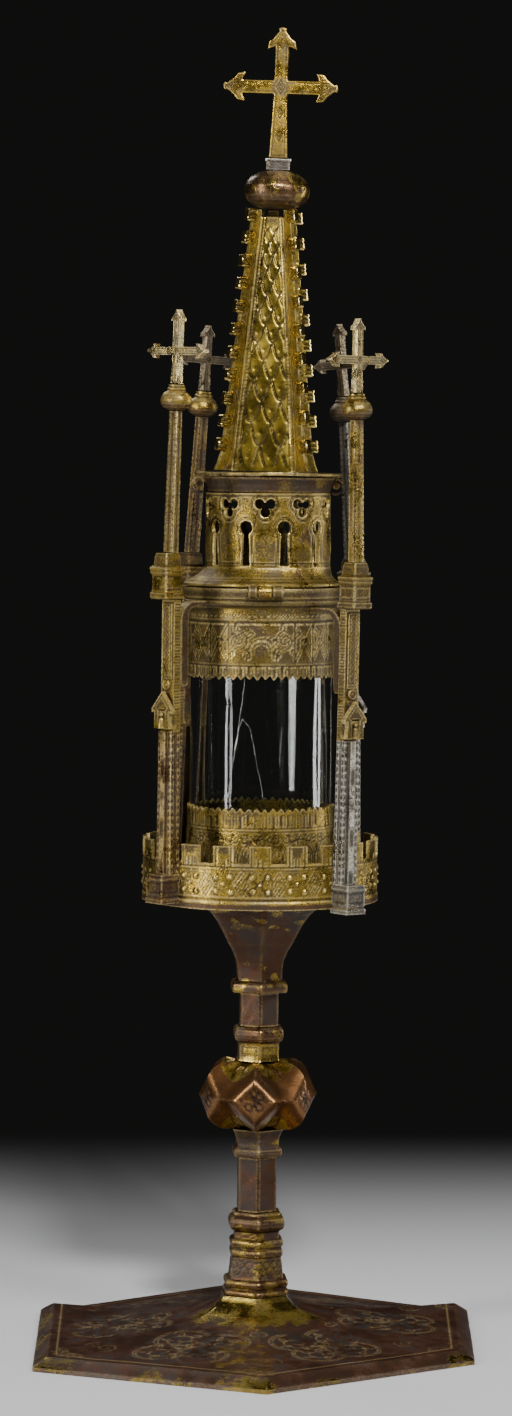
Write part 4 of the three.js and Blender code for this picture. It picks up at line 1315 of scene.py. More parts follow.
def capitalOrnament(points, normals):
    across, inward, height = points.T
    spots = np.stack([np.where(np.abs(normals[:, 0]) > 0.6, inward, across), height], 1)
    lines = np.abs(slabField(spots, 0, 5.4, 3.1, 2.0))
    lines = np.minimum(lines, np.abs(spots[:, 1] - 1.3))
    # Painted highlight beside each cut line
    chased, paleMarkAndHighlight = cutLine(lines, 0.26)
    side = np.abs(normals[:, 2]) < 0.5
    stain = 0.7 * ease(grain(points, 3.5, 6.0), 0.0, 0.35) + 0.5 * (height > 11.2)
    return {'sink': 0.1 * chased * side + 0.1 * grain(points, 4.0, 3.0), 'chased': chased * side,
            'paleMarkAndHighlight': paleMarkAndHighlight * 0.5 * side,
            'tarnish': clamped(stain), 'gilt': 0.55 + 0.4 * grain(points, 5.0, 9.0)}


def shaftOrnament(points, normals):
    across, inward, height = points.T
    front = np.abs(normals[:, 1]) > 0.6
    lane = np.where(front, np.abs(across), np.abs(inward) * 1.4)
    braid = np.abs(np.mod(height + 0.8 * np.sin(lane * 3.0), 1.9) - 0.95)
    distance = np.where((lane > 0.5) & (lane < 1.9), braid, farOff)
    distance = np.minimum(distance, np.abs(lane - 2.05))
    # Painted highlight beside each cut line
    chased, paleMarkAndHighlight = cutLine(distance, 0.3)
    return {'sink': 0.12 * chased, 'chased': chased, 'paleMarkAndHighlight': paleMarkAndHighlight,
            'tarnish': 0.6 * ease(grain(points, 4.0, 1.0), -0.05, 0.3),
            'gilt': clamped(0.5 + 0.5 * grain(points, 7.0, 8.0))}


def ballOrnament(points, normals):
    height = points[:, 2]
    low = 1 - ease(height + 0.7 * grain(points, 2.5, 4.0), 2.2, 3.6)
    neck = ease(height, 6.3, 6.8)
    dents = 0.12 * grain(points, 2.2, 2.0)
    # The upper shoulder gets a painted highlight; the lower part is darker and less gilt
    return {'sink': dents * (1 - neck),
            'tarnish': clamped(0.55 * low + 0.5 * neck * ease(grain(points, 2.0), -0.2, 0.3)),
            'gilt': clamped(0.95 - 0.75 * low - 0.3 * neck),
            'paleMarkAndHighlight': 0.3 * ease(height, 4.4, 5.6) * (1 - neck)}


def crossOutline(size):
    def half(length):
        leaf, ear = size['leaf'], size['ear']
        return [(size['bar'], length - leaf * 0.84), (ear, length - leaf),
                (ear * 0.95, length - leaf * 0.8), (ear * 0.9, length - leaf * 0.62),
                (ear * 0.62, length - leaf * 0.5), (ear * 0.4, length - leaf * 0.32),
                (ear * 0.22, length - leaf * 0.17), (ear * 0.3, length - leaf * 0.06)]

    def arm(length):
        right = half(length)
        left = [(-x, y) for x, y in right]
        return [(-size['bar'], size['bar'])] + left + [(0, length)] + right[::-1]

    outline = arm(size['up']) + [(y, -x) for x, y in arm(size['reach'])]
    outline += [(size['bar'], -size['bar']), (size['foot'], -size['down']), (-size['foot'], -size['down'])]
    return outline + [(-y, x) for x, y in arm(size['reach'])]


# Both faces carry an inset outline and lozenges; the rim is sunk round and paler, partly worn gilding and
# partly a painted highlight, and a painted highlight runs beside each cut line
def crossOrnament(size, inset, lozenges, dark):
    outline = crossOutline(size)

    def ornament(points, normals):
        spots = points[:, [0, 2]]
        depth = -polygonField(spots, outline)
        face = np.abs(normals[:, 1]) > 0.35
        distance = np.abs(depth - inset)
        for x, z, width, height in lozenges:
            ring = np.abs(spots[:, 0] - x) / width + np.abs(spots[:, 1] - z) / height
            distance = np.minimum(distance, np.abs(ring - 1) * min(width, height) * 0.8)
            distance = np.minimum(distance, np.abs(ring - 0.45) * min(width, height) * 0.8)
        chased, paleMarkAndHighlight = cutLine(distance, 0.28)
        rim = 1 - ease(depth, 0.0, inset * 0.7)
        stain = dark(spots) if dark else np.zeros(len(points))
        stain = np.maximum(stain, 0.5 * ease(grain(points, 4.0, 2.0), 0.1, 0.4))
        return {'sink': 0.12 * chased + 0.26 * rim ** 2, 'chased': chased * face,
                'paleMarkAndHighlight': clamped(0.6 * paleMarkAndHighlight * face + 0.3 * rim),
                'tarnish': clamped(stain), 'gilt': clamped(0.6 + 0.4 * grain(points, 6.0, 3.0))}
    return ornament


def platedSkin(outline, thickness, spacing):
    path = np.array(outline)
    low, high = path.min(0) - 0.4, path.max(0) + 0.4
    bm = stencilled(*(high - low), spacing, lambda spots: polygonField(spots, outline),
                    tuple((low + high) / 2))
    thicken(bm, thickness)
    bmesh.ops.translate(bm, vec=(0, 0, thickness / 2), verts=bm.verts)
    return upright(bm)


def figureSkin():
    return spunSkin([(0, 0), (1.35, 0), (1.25, 1.4), (0.95, 3.0), (0.5, 3.5), (0.75, 4.1), (0.7, 4.6),
                     (0.35, 5.0), (0, 5.05)], 20, 0.4)


def roundelSkin():
    bm = spunSkin([(0, 0), (1.8, 0), (1.8, 0.8), (1.5, 1.15), (1.0, 0.85), (0.6, 0.9), (0.3, 1.2),
                   (0, 1.2)], 32, 0.3)
    bmesh.ops.rotate(bm, verts=bm.verts, cent=(0, 0, 0), matrix=Matrix.Rotation(math.pi / 2, 3, 'X'))
    return bm


def buildCorner(corner):
    name = corner['name']
    look = looks[name]
    azimuth = math.radians(corner['azimuth'])
    outward = tower['buttressRadius']
    foot = (outward * math.sin(azimuth), -outward * math.cos(azimuth), 1.4 - corner['drop'])
    lower = storey(shrineFrame, foot, corner['lean'])
    turned = Matrix.Rotation(azimuth, 4, 'Z')

    base = squareSkin(buttress['plinth'], 64, 0.5, 90.0)
    joinInto(base, squareSkin(buttress['pier'], 60, 0.46, 90.0, depth=0.603), Matrix.Translation((0, 2, 0)))
    joinInto(base, squareSkin(buttress['rib'], 24, 0.6, 40.0, depth=1.25), Matrix.Translation((0, 0.5, 0)))
    finish('buttressBase_' + name, base, lower @ turned, 'root', 'buttress_' + name, finishes[look['base']],
           pierOrnament)

    stage = squareSkin(buttress['stage'], 48, 0.5, 90.0, depth=0.4545)
    bmesh.ops.translate(stage, vec=(0, 2.5, 0), verts=stage.verts)
    halfWidth, low, high = buttress['panel']
    panel = [(-halfWidth, low), (halfWidth, low), (halfWidth, high), (-halfWidth, high)]
    joinInto(stage, platedSkin(panel, 1.2, 0.35), Matrix.Translation((0, 1.2, 0)))
    canopy = platedSkin(buttress['gable'], 1.6, 0.4)
    arch = [vert for vert in canopy.verts if abs(vert.co.x) < 1.6 and 59 < vert.co.z < 65.2
            and vert.co.y < 0]
    for vert in arch:
        vert.co.y += 1.25
    joinInto(stage, canopy, Matrix.Translation((0, -0.8, 0)))
    joinInto(stage, squareSkin([(58.7, 6.6), (64.6, 6.6)], 32, 1.5, 60.0, depth=0.5),
             Matrix.Translation((0, 0.8, 0)))
    joinInto(stage, figureSkin(), Matrix.Translation((0, -1.5, 59)))
    joinInto(stage, roundelSkin(), Matrix.Translation((0, 1.2, 73.4)))
    finish('buttressStage_' + name, stage, lower @ turned, 'root', None, finishes[look['stage']],
           stageOrnament)

    capital = squareSkin(buttress['capital'], 60, 0.5, 90.0)
    finish('capitalBlock_' + name, capital, lower @ turned @ Matrix.Translation((0, 0.4, 102.2)), 'root',
           'capital_' + name, finishes[look['capital']], capitalOrnament)

    inset = Matrix.Translation((0, corner['inset'], 0))
    upper = storey(lower, (0, 0, 117.9), corner['pinnacle'])
    shaft = squareSkin(buttress['shaft'], 44, 0.46, 60.0, depth=0.58)
    finish('pinnacleShaft_' + name, shaft, upper @ turned @ inset, 'root', 'pinnacle_shaft_' + name,
           finishes[look['shaft']], shaftOrnament)
    ball = spunSkin(buttress['ball'], 64, 0.5)
    finish('pinnacleBall_' + name, ball, upper @ turned @ inset @ Matrix.Translation((0, 0, 47.8)), 'root',
           'pinnacle_ball_' + name, finishes[look['ball']], ballOrnament)
    summit = storey(upper, (0, 0, 56.7), corner['cross'])
    size = {**smallCross, 'up': corner['crossUp']}
    where = (summit @ turned @ inset @ Matrix.Translation((0, 0, size['down']))
             @ Matrix.Rotation(math.radians(corner['crossTurn']), 4, 'Z'))
    lozenges = [(0, 0, 1.0, 1.2), (0, size['up'] - 2.6, 1.0, 1.5), (10.9, 0, 1.4, 0.9),
                (-10.9, 0, 1.4, 0.9)]
    finish('pinnacleCross_' + name, platedSkin(crossOutline(size), 2.6, 0.36), where, 'root',
           'pinnacle_cross_' + name,
           finishes[look['cross']], crossOrnament(size, 0.6, lozenges, None))

    sideways = foot[0] + 102.2 * math.tan(math.radians(corner['lean']))
    buildBracket(corner, math.atan2(sideways, -foot[1]), math.hypot(sideways, foot[1]) - 5)


def bracketOutline(root, reach):
    inner = [(reach - 6.6 + 3 * math.sin(a), -5.2 + 3 * math.cos(a))
             for a in np.linspace(0, math.pi / 2, 9)]
    outer = [(reach - 6.4 + 6.4 * math.cos(a), -6.4 + 6.4 * math.sin(a))
             for a in np.linspace(0, math.pi / 2, 13)]
    return ([(root, -2.2)] + inner
            + [(reach - 3.6, -27.7), (reach - 2.6, -28.7), (reach - 1, -28.7), (reach, -27.7)] + outer
            + [(root, 0)])


# The outer surface is paler than the sides, partly its own gilding and partly a painted highlight; the flat
# sides are darkened with painted shade
def bracketOrnament(outline):
    def ornament(points, normals):
        depth = -polygonField(points[:, [0, 2]], outline)
        outer = (normals[:, 0] + normals[:, 2] > 0.5) & (np.abs(normals[:, 1]) < 0.6)
        flat = np.abs(normals[:, 1]) > 0.5
        rim = 1 - ease(depth, 0.0, 0.5)
        stain = np.where(outer, 0.3, 0.5) * ease(grain(points, 3.5, 2.0), -0.2, 0.3) + 0.25 * flat
        return {'sink': 0.2 * rim ** 2 + 0.08 * grain(points, 3.0, 1.0), 'tarnish': clamped(stain),
                'gilt': np.where(outer, 0.85, 0.35),
                'paleMarkAndHighlight': 0.5 * outer * ease(grain(points, 5.0, 5.0), -0.3, 0.1)}
    return ornament


def buildBracket(corner, bearing, reach):
    outline = bracketOutline(corner['root'], reach)
    where = storey(shrineFrame, (0, 0, 102.8 - 0.75 * corner['drop']), 0, math.degrees(bearing) - 90)
    finish('bracketBar_' + corner['name'], platedSkin(outline, 4, 0.4), where, 'root',
           'bracket_' + corner['name'], finishes['mount'], bracketOrnament(outline))


for corner in corners:
    buildCorner(corner)
print('corners done')

pin = spunSkin([(0, 0), (0.7, 0), (1.0, 0.3), (1.0, 12.7), (0.7, 13.0), (0, 13.0)], 20, 1.0)
pinPlace = (storey(shrineFrame, (-5.2, -hinge['forward'], hinge['height']))
            @ Matrix.Rotation(math.pi / 2, 4, 'Y'))
finish('hingePinRod', pin, pinPlace, 'root', 'hinge_pin', finishes['brown'])


# Lid: a flared skirt under a pierced lantern, a plain collar with two rolled strips, a warped plate

lantern = {
    'radius': 21.5,
    'wall': 1.2,
    'sill': 6.2,
    'top': 31.7,
    'bays': 10,
    'turn': -3.0,
    'spacing': 0.45,
    'skirt': [(22.6, 0), (26.4, 0), (26.8, 0.3), (26.8, 0.9), (26.5, 1.2), (25.3, 1.8), (24.2, 2.6),
              (23.2, 3.5), (22.4, 4.6), (21.8, 5.6), (21.5, 6.4), (20.3, 6.4), (22.6, 1.2), (22.6, 0)],
}
bayWidth = fullTurn * lantern['radius'] / lantern['bays']


def bayAcross(spots, offset):
    x = spots[:, 0] - math.radians(lantern['turn']) * lantern['radius'] + offset * bayWidth
    return np.mod(x + bayWidth / 2, bayWidth) - bayWidth / 2


def windowFields(spots):
    trefoil = np.stack([bayAcross(spots, 0), spots[:, 1]], 1)
    keyhole = np.stack([bayAcross(spots, 0.5), spots[:, 1]], 1)
    lobes = [discField(trefoil, x, y, size) for x, y,
             size in ((-1.95, 28.1, 1.65), (1.95, 28.1, 1.65), (0, 25.2, 1.6), (0, 27.2, 1.2))]
    slot = polygonField(keyhole, [(-1.0, 18.4), (-1.5, 7.2), (1.5, 7.2), (1.0, 18.4)])
    return np.min(lobes, axis=0), np.minimum(discField(keyhole, 0, 20, 2.3), slot)


def lanternField(spots):
    return -np.minimum(*windowFields(spots))


def lanternMotifs():
    strokes = []
    for bay in range(-4, 5):
        x = bay * bayWidth + math.radians(lantern['turn']) * lantern['radius']
        strokes += leafStrokes(x, 21.5, -90, 6.0, 1.3)
        strokes += [[(x, 22.4), (x, 9.0)]]
        for side in (-1, 1):
            strokes += leafStrokes(x, 14.5, 90 + side * 40, 3.8, 0.8)
            strokes.append(spiralStroke(x + side * 2.1, 10.8, 1.7, 0.4, 270, -side * 1.3, 14))
            strokes.append(arcStroke(x + side * 6.75, 27.4, 2.5, 90 + side * 80, 90 - side * 80, 10))
    return strokes


def lanternOrnament():
    motifs = lanternMotifs()

    def ornament(points, normals):
        spots = unrolled(points, lantern['radius'])
        radius = radiusOf(points)
        outside = looksOut(points, normals)
        wall = outside & (spots[:, 1] > 6.9) & (radius > 20.9)
        nearest = np.minimum(*windowFields(spots))
        distance = np.minimum(np.abs(nearest - 0.75), np.abs(nearest - 1.35))
        foliage = engraved(strokeField(spots, motifs), 0.28) * (nearest > 1.9) * 0.6
        distance = np.minimum(distance,
                              np.min([np.abs(spots[:, 1] - line) for line in (30.9, 7.3, 8.0)], axis=0))
        distance = np.where(wall, distance, np.abs(spots[:, 1] - 2.5) + 0.1)
        # Painted highlight beside each cut line and round the edges of the windows
        chased, paleMarkAndHighlight = cutLine(distance, 0.3)
        chased, paleMarkAndHighlight = np.maximum(chased, foliage * wall) * outside, paleMarkAndHighlight * outside * 0.8
        rim = (1 - ease(nearest, 0.0, 0.5)) * wall
        stain = 0.65 * ease(grain(points, 4.5, 3.0), 0.0, 0.35) + 0.8 * ease(spots[:, 1], 29.8, 31.4)
        return {'sink': 0.15 * chased + 0.18 * rim ** 2
                + 0.16 * grain(points, 8.0, 2.0) * outside * (radius > 20), 'chased': chased,
                'paleMarkAndHighlight': clamped(paleMarkAndHighlight + 0.5 * rim), 'tarnish': clamped(stain + 0.8 * (1 - outside)),
                'gilt': clamped(0.62 + 0.35 * grain(points, 9.0, 6.0))}
    return ornament


# The lantern sits a little to one side of the ring it stands on
def shiftLantern(points):
    moved = points.copy()
    moved[:, 0] += tower['lanternShift'] * clamped((points[:, 2] - 1.2) / 5)
    return moved


def buildLantern():
    tall = lantern['top'] - lantern['sill']
    sheet = stencilled(fullTurn * lantern['radius'], tall, lantern['spacing'], lanternField,
                       (0, lantern['sill'] + tall / 2))
    wall = rolled(thicken(sheet, lantern['wall']), lantern['radius'])
    joinInto(wall, spunSkin(lantern['skirt'], 144, 0.6))
    joinInto(wall, spunSkin([(0, 30.7), (20.4, 30.7), (20.4, 31.68), (0, 31.68)], 72, 4))
    joinInto(wall, knuckleSkin(hinge['middle'], -1.5, 1.9))
    finish('lanternDrum', wall, lidFrame, 'lid', 'lid_lantern', finishes['gold'],
           lanternOrnament(), crease=35, settle=shiftLantern)


def rollSkin():
    bm = bmesh.new()
    bmesh.ops.create_grid(bm, x_segments=40, y_segments=10, size=0.5)
    for vert in bm.verts:
        angle = math.pi * (-0.7 + 1.75 * (vert.co.x + 0.5))
        reach = 2.62 - 0.2 * (vert.co.x + 0.5)
        vert.co = (reach * math.cos(angle), vert.co.y * 5, reach * math.sin(angle))
    bmesh.ops.solidify(bm, geom=bm.faces[:], thickness=0.85)
    disc = spunSkin([(0, 0), (1.2, 0), (1.4, 0.2), (1.4, 4.4), (1.2, 4.6), (0, 4.6)], 28, 0.6)
    return joinInto(bm, disc, Matrix.Translation((0, 2.3, 0)) @ Matrix.Rotation(math.pi / 2, 4, 'X'))


def collarOrnament(points, normals):
    line = np.abs(points[:, 2] - 1.3)
    chased = engraved(line, 0.4) * (radiusOf(points) < 23.2)
    return {'sink': 0.12 * chased + 0.1 * grain(points, 6.0, 4.0), 'chased': chased,
            'tarnish': 0.7 * ease(grain(points, 5.0, 3.0), -0.1, 0.3),
            'gilt': clamped(0.4 + 0.5 * grain(points, 9.0, 2.0))}


def buildCollar():
    collar = spunSkin([(0, 0), (20.8, 0), (21, 0.2), (21.2, 1), (21.9, 3.2), (22.8, 5.1), (22.6, 5.2),
                       (0, 5.2)], 112, 1.0)
    for turn, centre in ((math.pi, -24.2), (0, 22.9)):
        joinInto(collar, rollSkin(), Matrix.Translation((centre, 0, 2.6)) @ Matrix.Rotation(turn, 4, 'Z'))
    finish('collarCone', collar, storey(crownFrame, (0.3, 0, 0)), 'lid', 'lid_collar', finishes['brown'],
           collarOrnament)


def plateOrnament(points, normals):
    radius = radiusOf(points)
    azimuth = azimuthOf(points)
    wave = 0.3 * np.sin(3 * azimuth + 0.7) + 0.14 * np.sin(8 * azimuth) + 0.1 * np.sin(17 * azimuth + 2)
    rim = ease(radius, 17, 25)
    scallop = 0.25 * np.sin(23 * azimuth) * (radius > 24.9)
    side = np.sign(normals[:, 2]) * (np.abs(normals[:, 2]) > 0.5)
    ring = np.minimum(np.abs(radius - 22.6), np.abs(radius - 21.8))
    chased = engraved(ring, 0.35) * (side > 0)
    edge = ease(radius, 24.4, 25.2)
    return {'sink': side * wave * rim * -0.5 + 0.12 * chased + np.abs(scallop) * edge, 'chased': chased,
            'tarnish': clamped(0.8 * edge * ease(grain(points, 4.0, 2.0), -0.3, 0.2)
                               + 0.5 * ease(grain(points, 5.0), 0, 0.3)),
            'gilt': 0.6 + 0.4 * grain(points, 8.0, 3.0)}


def buildPlate():
    plate = spunSkin([(0, 0), (25.0, 0), (25.3, 0.3), (25.3, 1.0), (25.0, 1.3), (0, 1.3)], 128, 0.9)
    finish('spirePlate', plate, storey(crownFrame, (0.2, 0, 5.5)), 'lid', 'lid_plate', finishes['mount'],
           plateOrnament)


buildLantern()
buildCollar()
buildPlate()
print('lid done')


# Spire: a square pyramid engraved with pointed scales, crocketed ribs on its corners, ball and great cross

spire = {
    'base': 22.1,
    'tip': 8.0,
    'height': 87.0,
    'ribHeight': 89.6,
    'crestTip': 6.3,
    'crockets': (11, 9, 10, 10),
    'rows': 15.3,
    'scales': 2.9,
    'ball': [(0, 0), (2.4, 0), (4.2, 0.1), (6.4, 0.6), (8.4, 1.5), (10.0, 2.9), (10.9, 4.4), (11.25, 6.1),
             (11.1, 7.8), (10.3, 9.6), (9.3, 10.8), (8, 11.7), (6.5, 12.5), (4.6, 13.2), (0, 13.2)],
    'cross': {'reach': 19.9, 'up': 20.7, 'down': 24.4, 'bar': 2.35, 'foot': 3.2, 'leaf': 7.9, 'ear': 5.1},
}


def spireSide(height):
    return spire['base'] + (spire['tip'] - spire['base']) * clamped(height / spire['height'])


def spireOrnament(points, normals):
    height = points[:, 2]
    side = spireSide(height)
    onX = np.abs(points[:, 0]) > np.abs(points[:, 1])
    across = np.where(onX, points[:, 1], points[:, 0])
    face = np.where(onX, 1.7, 0) + np.where(np.where(onX, points[:, 0], points[:, 1]) > 0, 0.9, 0)
    row = spire['rows'] * np.log(spire['base'] / side) + 0.12 * np.sin(face * 5)
    level = np.floor(row)
    part = row - level
    cell = np.mod(across / side * spire['scales'] + 0.5 * np.mod(level, 2) + 0.25, 1) - 0.5
    hang = np.abs(2 * cell) ** 2.1
    slope = 4.2 * np.abs(2 * cell) ** 1.1
    tall, wide = side * 0.403, side / spire['scales']
    away = (part - hang) * tall / np.sqrt(1 + (slope * tall / wide) ** 2)
    margin = side / 2 - np.abs(across)
    inner = margin > 1.9
    scale = inner & (height < 84) & (height > 1.5)
    distance = np.where(scale, np.abs(away), farOff)
    lines = np.minimum(np.abs(margin - 0.8), np.abs(margin - 1.8))
    distance = np.minimum(distance, np.where(margin < 2.6, lines, farOff))
    # Painted highlights: a band below each scale's edge and the crowns of the border beads
    chased, paleMarkAndHighlight = engraved(distance, 0.42), engraved(away - 0.6, 0.5) * scale
    beads = (0.5 + 0.5 * np.cos(height * fullTurn / 1.25)) * (np.abs(margin - 1.3) < 0.36)
    swell = np.where(away > 0, np.exp(-away / 1.7), 0) * scale
    punched = (np.hypot(cell * wide, (part - hang - 0.55) * tall) < 0.55) & scale & (side > 13)
    # Painted shadow: the top of each face, under the finial ball, is darkened
    arch = ease(height, 82.5, 85.5) * inner
    stain = np.maximum(arch, 0.25 * ease(grain(points, 5.0, 3.0), 0.15, 0.45))
    stain = np.maximum(stain, 0.6 * (1 - ease(margin, 0.8, 2.4)) * ease(grain(points, 4.0, 6.0), -0.4, 0.1))
    upright = np.abs(normals[:, 2]) < 0.7
    return {'sink': (0.24 * chased - 0.12 * swell - 0.16 * beads + 0.12 * punched) * upright
            + 0.05 * grain(points, 14.0, 5.0),
            'chased': clamped(chased + 0.5 * punched) * upright,
            'paleMarkAndHighlight': clamped(0.8 * paleMarkAndHighlight + 0.4 * beads) * upright,
            'tarnish': clamped(stain), 'gilt': clamped(0.66 + 0.3 * grain(points, 9.0, 7.0))}


def buildSpire():
    bm = squareSkin([(0, spire['base']), (spire['height'], spire['tip']), (87.8, 3.2), (89.4, 3.2)], 184,
                    0.5, 160.0)
    finish('spireFaces', bm, storey(spireFrame, (0, 0, 0), 0, tower['spireTurn']), 'lid', 'spire',
           finishes['spireGold'], spireOrnament)


def ribEdge(height):
    crest = (spire['base'] + (spire['crestTip'] - spire['base']) * height / spire['height']) * halfDiagonal
    return crest + 5.3 + 2.1 * max(0, 1 - height / 9) ** 2


def ribFeet(count):
    return [7 + step * (spire['ribHeight'] - 11) / (count - 1) for step in range(count)]


# Each crocket is a small folded tab, its outer corners rubbed round
def ribOutline(count):
    top = spire['ribHeight']
    outline = [(spire['base'] * halfDiagonal + 0.3, 0), (ribEdge(0), 0), (ribEdge(3), 3)]
    for foot in ribFeet(count):
        low, high = ribEdge(foot), ribEdge(foot + 4)
        outline += [(low, foot), (low + 1.8, foot), (low + 2.2, foot + 0.4), (high + 2.2, foot + 3.6),
                    (high + 1.8, foot + 4), (high, foot + 4)]
    inner = (spire['base'] + (spire['tip'] - spire['base']) * top / spire['height']) * halfDiagonal + 0.3
    return outline + [(inner, top)]


def ribOrnament(count, outline):
    feet = np.array(ribFeet(count))

    def ornament(points, normals):
        spots = points[:, [0, 2]]
        edge = np.array([ribEdge(height) for height in spots[:, 1]])
        beyond = spots[:, 0] - edge
        steps = spots[:, 1:2] - feet
        nearTab = ((steps > -0.2) & (steps < 4.2)).any(1)
        within = np.abs(np.where(np.abs(steps - 2) < 3, steps, 99)).min(1)
        flat = np.abs(normals[:, 1]) > 0.5
        tab = nearTab & (beyond > -1.4)
        ridges = 0.5 + 0.5 * np.cos((within - 0.5) * fullTurn / 1.5)
        arcs = np.abs(np.hypot((spots[:, 0] - edge)[:, None] + 0.2, steps - 2).min(1) - 2.7)
        distance = np.where(beyond < -0.4, arcs, farOff)
        distance = np.minimum(distance, np.abs(beyond + 3.6))
        # Painted highlight beside each cut line and on the outer part of each tab
        chased, paleMarkAndHighlight = cutLine(distance, 0.3)
        chased = np.where(tab, 0, chased) * flat
        depth = -polygonField(spots, outline)
        rim = 1 - ease(depth, 0.0, 0.4)
        swell = np.where(tab & flat, 0.32 + 0.22 * ridges, 0)
        groove = np.where(tab, (1 - ridges) * 0.8, 0)
        stain = 0.6 * ease(grain(points, 4.0, 3.0), -0.1, 0.35) * ~tab + 0.25 * ~tab
        return {'sink': 0.12 * chased - swell + 0.12 * rim, 'chased': clamped(chased + 0.7 * groove),
                'paleMarkAndHighlight': clamped(paleMarkAndHighlight * 0.5 * flat + 0.8 * tab * ease(beyond, -0.6, 1.2)),
                'tarnish': clamped(stain),
                'gilt': clamped(0.5 + 0.45 * tab + 0.3 * grain(points, 6.0, 2.0))}
    return ornament


def buildRibs():
    for index, count in enumerate(spire['crockets']):
        outline = ribOutline(count)
        where = storey(spireFrame, (0, 0, 0), 0, tower['spireTurn'] - 135 + 90 * index)
        finish(f'crocketRib_{index + 1}', platedSkin(outline, 1.4, 0.45), where, 'lid',
               f'spire_rib_{index + 1}', finishes['spireGold'], ribOrnament(count, outline))


def finialOrnament(points, normals):
    height = points[:, 2]
    dark = 1 - ease(height + 1.2 * grain(points, 4.0, 1.0), 3.6, 6.0)
    hammered = 0.22 * grain(points, 2.4, 3.0) * dark
    worn = ease(grain(points, 5.0, 8.0), -0.1, 0.15) * ease(points[:, 0], 2.0, 7.0)
    # The top of the ball gets a painted highlight; the hammered lower part is darker
    return {'sink': hammered + 0.05 * grain(points, 5.0, 2.0),
            'tarnish': clamped(0.6 * dark + 0.8 * ease(1.4 - height, 0, 1.4)),
            'gilt': clamped(0.3 + 0.7 * worn + 0.4 * grain(points, 3.0, 2.0)),
            'paleMarkAndHighlight': 0.3 * ease(height, 9, 12) * (1 - dark)}


def socketOrnament(points, normals):
    return {'sink': 0.08 * grain(points, 3.0, 2.0),
            'tarnish': 0.6 * ease(grain(points, 2.5, 4.0), -0.1, 0.3),
            'gilt': 0.3 + 0.3 * grain(points, 3.0)}


def greatCrossStain(spots):
    crossing = 1 - ease(radiusOf(spots), 2.6, 4.4)
    upper = (ease(spots[:, 1], 3.5, 6.5)
             * ease(np.sin(spots[:, 1] * 0.7) + 0.8 * np.sin(spots[:, 0] * 1.9), -0.9, 0.2) * 0.85)
    foot = (1 - ease(spots[:, 1], -21.0, -14.5)) * 0.8
    leaves = ease(np.abs(spots[:, 0]), 14.5, 18) * 0.55
    return np.max([crossing, upper, foot, leaves], axis=0)


def buildFinial():
    finish('finialGlobe', spunSkin(spire['ball'], 112, 0.6), finialFrame, 'lid', 'finial_ball',
           finishes['globe'], finialOrnament)
    socket = squareSkin([(0, 7.9), (0.3, 8), (2.6, 8), (2.9, 8.7), (3.2, 8.8), (3.6, 8.8), (3.8, 8.5)], 64,
                        0.45, 90.0)
    finish('finialSocketBlock', socket, storey(finialFrame, (0, 0, 13.5)), 'lid', 'finial_socket',
           finishes['silverAndReflection'], socketOrnament)
    lozenges = [(0, 0, 1.37, 2.4), (0, -8.6, 1.1, 2.2), (0, -16.4, 1.1, 2.2), (0, 15.6, 1.6, 2.6),
                (15.0, 0, 2.6, 1.7), (-15.0, 0, 2.6, 1.7)]
    cross = platedSkin(crossOutline(spire['cross']), 3, 0.36)
    finish('greatCross', cross, storey(finialFrame, (0, 0, 42.0), 0, -6), 'lid', 'finial_cross',
           finishes['crossGold'], crossOrnament(spire['cross'], 0.9, lozenges, greatCrossStain))


buildSpire()
buildRibs()
buildFinial()
print('spire done')




# Floor, light and camera

studio = {
    'floorRadius': 1.6,
    'floorPale': (0.62, 0.62, 0.63),
    # Painted falloff: the floor's colour darkens towards the back over this span, and its far part glows
    # faintly in the backdrop colour
    'paintedFalloffShade': (0.0, 0.0, 0.0),
    'paintedFalloffSpan': (0.02, 0.43),
    'cameraPlace': (0.0007, -1.408, 0.303),
    'cameraPitch': 90.0,
    'lens': 104.24,
    'rise': -0.1787,
    'backdropAndFloorGlow': (0.0075, 0.0072, 0.007),
    'lights': [
        {'name': 'keyLight', 'place': (0.8, -0.9, 0.9), 'aim': (0, 0, 0.24), 'size': (0.26, 0.36),
         'power': 6.5},
        {'name': 'sideLight', 'place': (-0.88, -0.53, 0.45), 'aim': (0, 0, 0.24), 'size': (0.2, 0.9),
         'power': 8.5},
        {'name': 'topLight', 'place': (0.1, -0.1, 1.25), 'aim': (0, 0, 0.2), 'size': (0.5, 0.5),
         'power': 1.0},
        {'name': 'frontLight', 'place': (0.24, -1.15, 1.15), 'aim': (0, 0, 0.2), 'size': (0.2, 0.2),
         'power': 26.0},
        {'name': 'backLight', 'place': (-0.5, 0.95, 0.95), 'aim': (0, 0, 0.24), 'size': (0.3, 0.3),
         'power': 1.5},
        {'name': 'stripLight', 'place': (0.95, 0.3, 0.25), 'aim': (0, 0, 0.24), 'size': (0.12, 0.9),
         'power': 3.5},
    ],
}


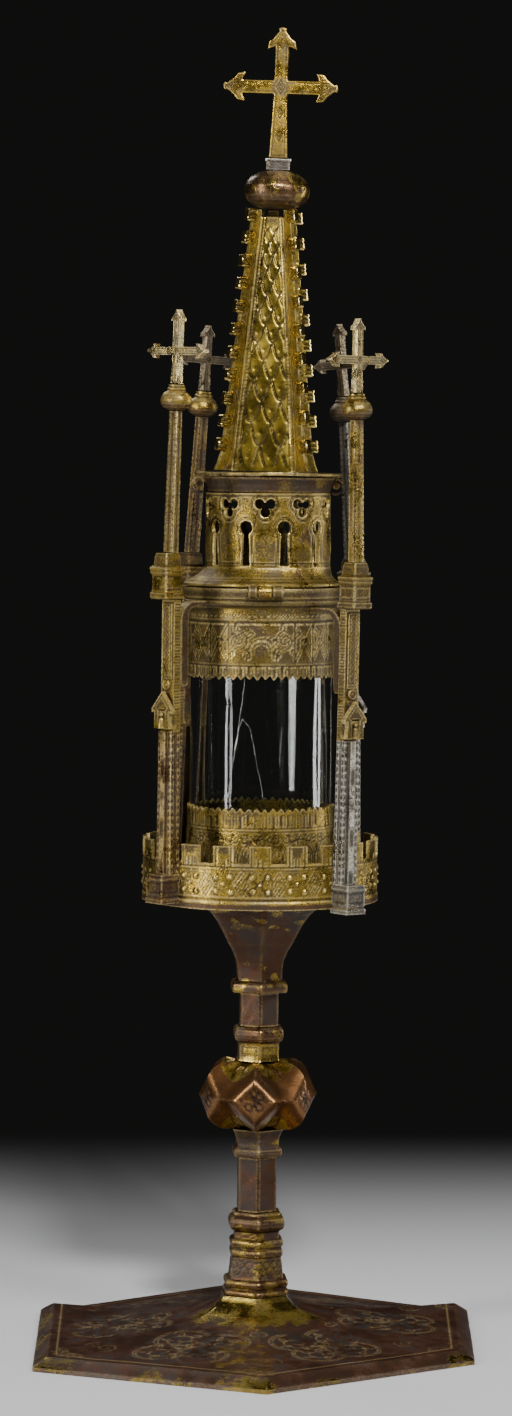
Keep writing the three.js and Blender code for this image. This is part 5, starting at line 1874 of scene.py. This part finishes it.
def floorMaterial():
    material = bpy.data.materials.new('paleFloor')
    material.use_nodes = True
    tree = material.node_tree
    coords = addNode(tree, 'ShaderNodeTexCoord')
    parts = addNode(tree, 'ShaderNodeSeparateXYZ')
    tree.links.new(coords.outputs['Object'], parts.inputs[0])
    # The floor is painted darker towards the back as a painted light falloff, and there it glows faintly in
    # the backdrop colour
    away = ramped(tree, parts.outputs['Y'], *studio['paintedFalloffSpan'])
    texture = addNode(tree, 'ShaderNodeTexNoise', {'Scale': 260.0, 'Detail': 4.0})
    tree.links.new(coords.outputs['Object'], texture.inputs['Vector'])
    pale = blendColours(tree, sumUp(tree, 'MULTIPLY', texture.outputs['Fac'], 0.12),
                        (*studio['floorPale'], 1), (0.3, 0.3, 0.29, 1))
    hue = blendColours(tree, away, pale, (*studio['paintedFalloffShade'], 1))
    shader = tree.nodes['Principled BSDF']
    shader.inputs['Roughness'].default_value = 0.9
    shader.inputs['Specular IOR Level'].default_value = 0.0
    tree.links.new(hue, shader.inputs['Base Color'])
    tree.links.new(blendColours(tree, away, (0, 0, 0, 1), (*studio['backdropAndFloorGlow'], 1)),
                   shader.inputs['Emission Color'])
    shader.inputs['Emission Strength'].default_value = 1.0
    return material


def buildFloor():
    bm = bmesh.new()
    bmesh.ops.create_circle(bm, cap_ends=True, segments=96, radius=studio['floorRadius'])
    mesh = bpy.data.meshes.new('floor')
    bm.to_mesh(mesh)
    bm.free()
    disc = bpy.data.objects.new('floor', mesh)
    bpy.context.scene.collection.objects.link(disc)
    mesh.materials.append(floorMaterial())


def addLights():
    for spec in studio['lights']:
        lamp = bpy.data.lights.new(spec['name'], 'AREA')
        lamp.shape = 'RECTANGLE'
        lamp.size, lamp.size_y = spec['size']
        lamp.energy = spec['power']
        holder = bpy.data.objects.new(spec['name'], lamp)
        place = Vector(spec['place'])
        holder.location = place
        holder.rotation_euler = (Vector(spec['aim']) - place).to_track_quat('-Z', 'Y').to_euler()
        bpy.context.scene.collection.objects.link(holder)
    world = bpy.data.worlds.new('studioAir')
    world.use_nodes = True
    world.node_tree.nodes['Background'].inputs['Color'].default_value = (*studio['backdropAndFloorGlow'], 1)
    bpy.context.scene.world = world


def addCamera():
    lens = bpy.data.cameras.new('camera')
    lens.lens = studio['lens']
    lens.shift_y = studio['rise']
    camera = bpy.data.objects.new('camera', lens)
    camera.location = studio['cameraPlace']
    camera.rotation_euler = (math.radians(studio['cameraPitch']), 0, 0)
    bpy.context.scene.collection.objects.link(camera)
    bpy.context.scene.camera = camera


buildFloor()
addLights()
addCamera()
print('floor, light and camera done')

print(totals)
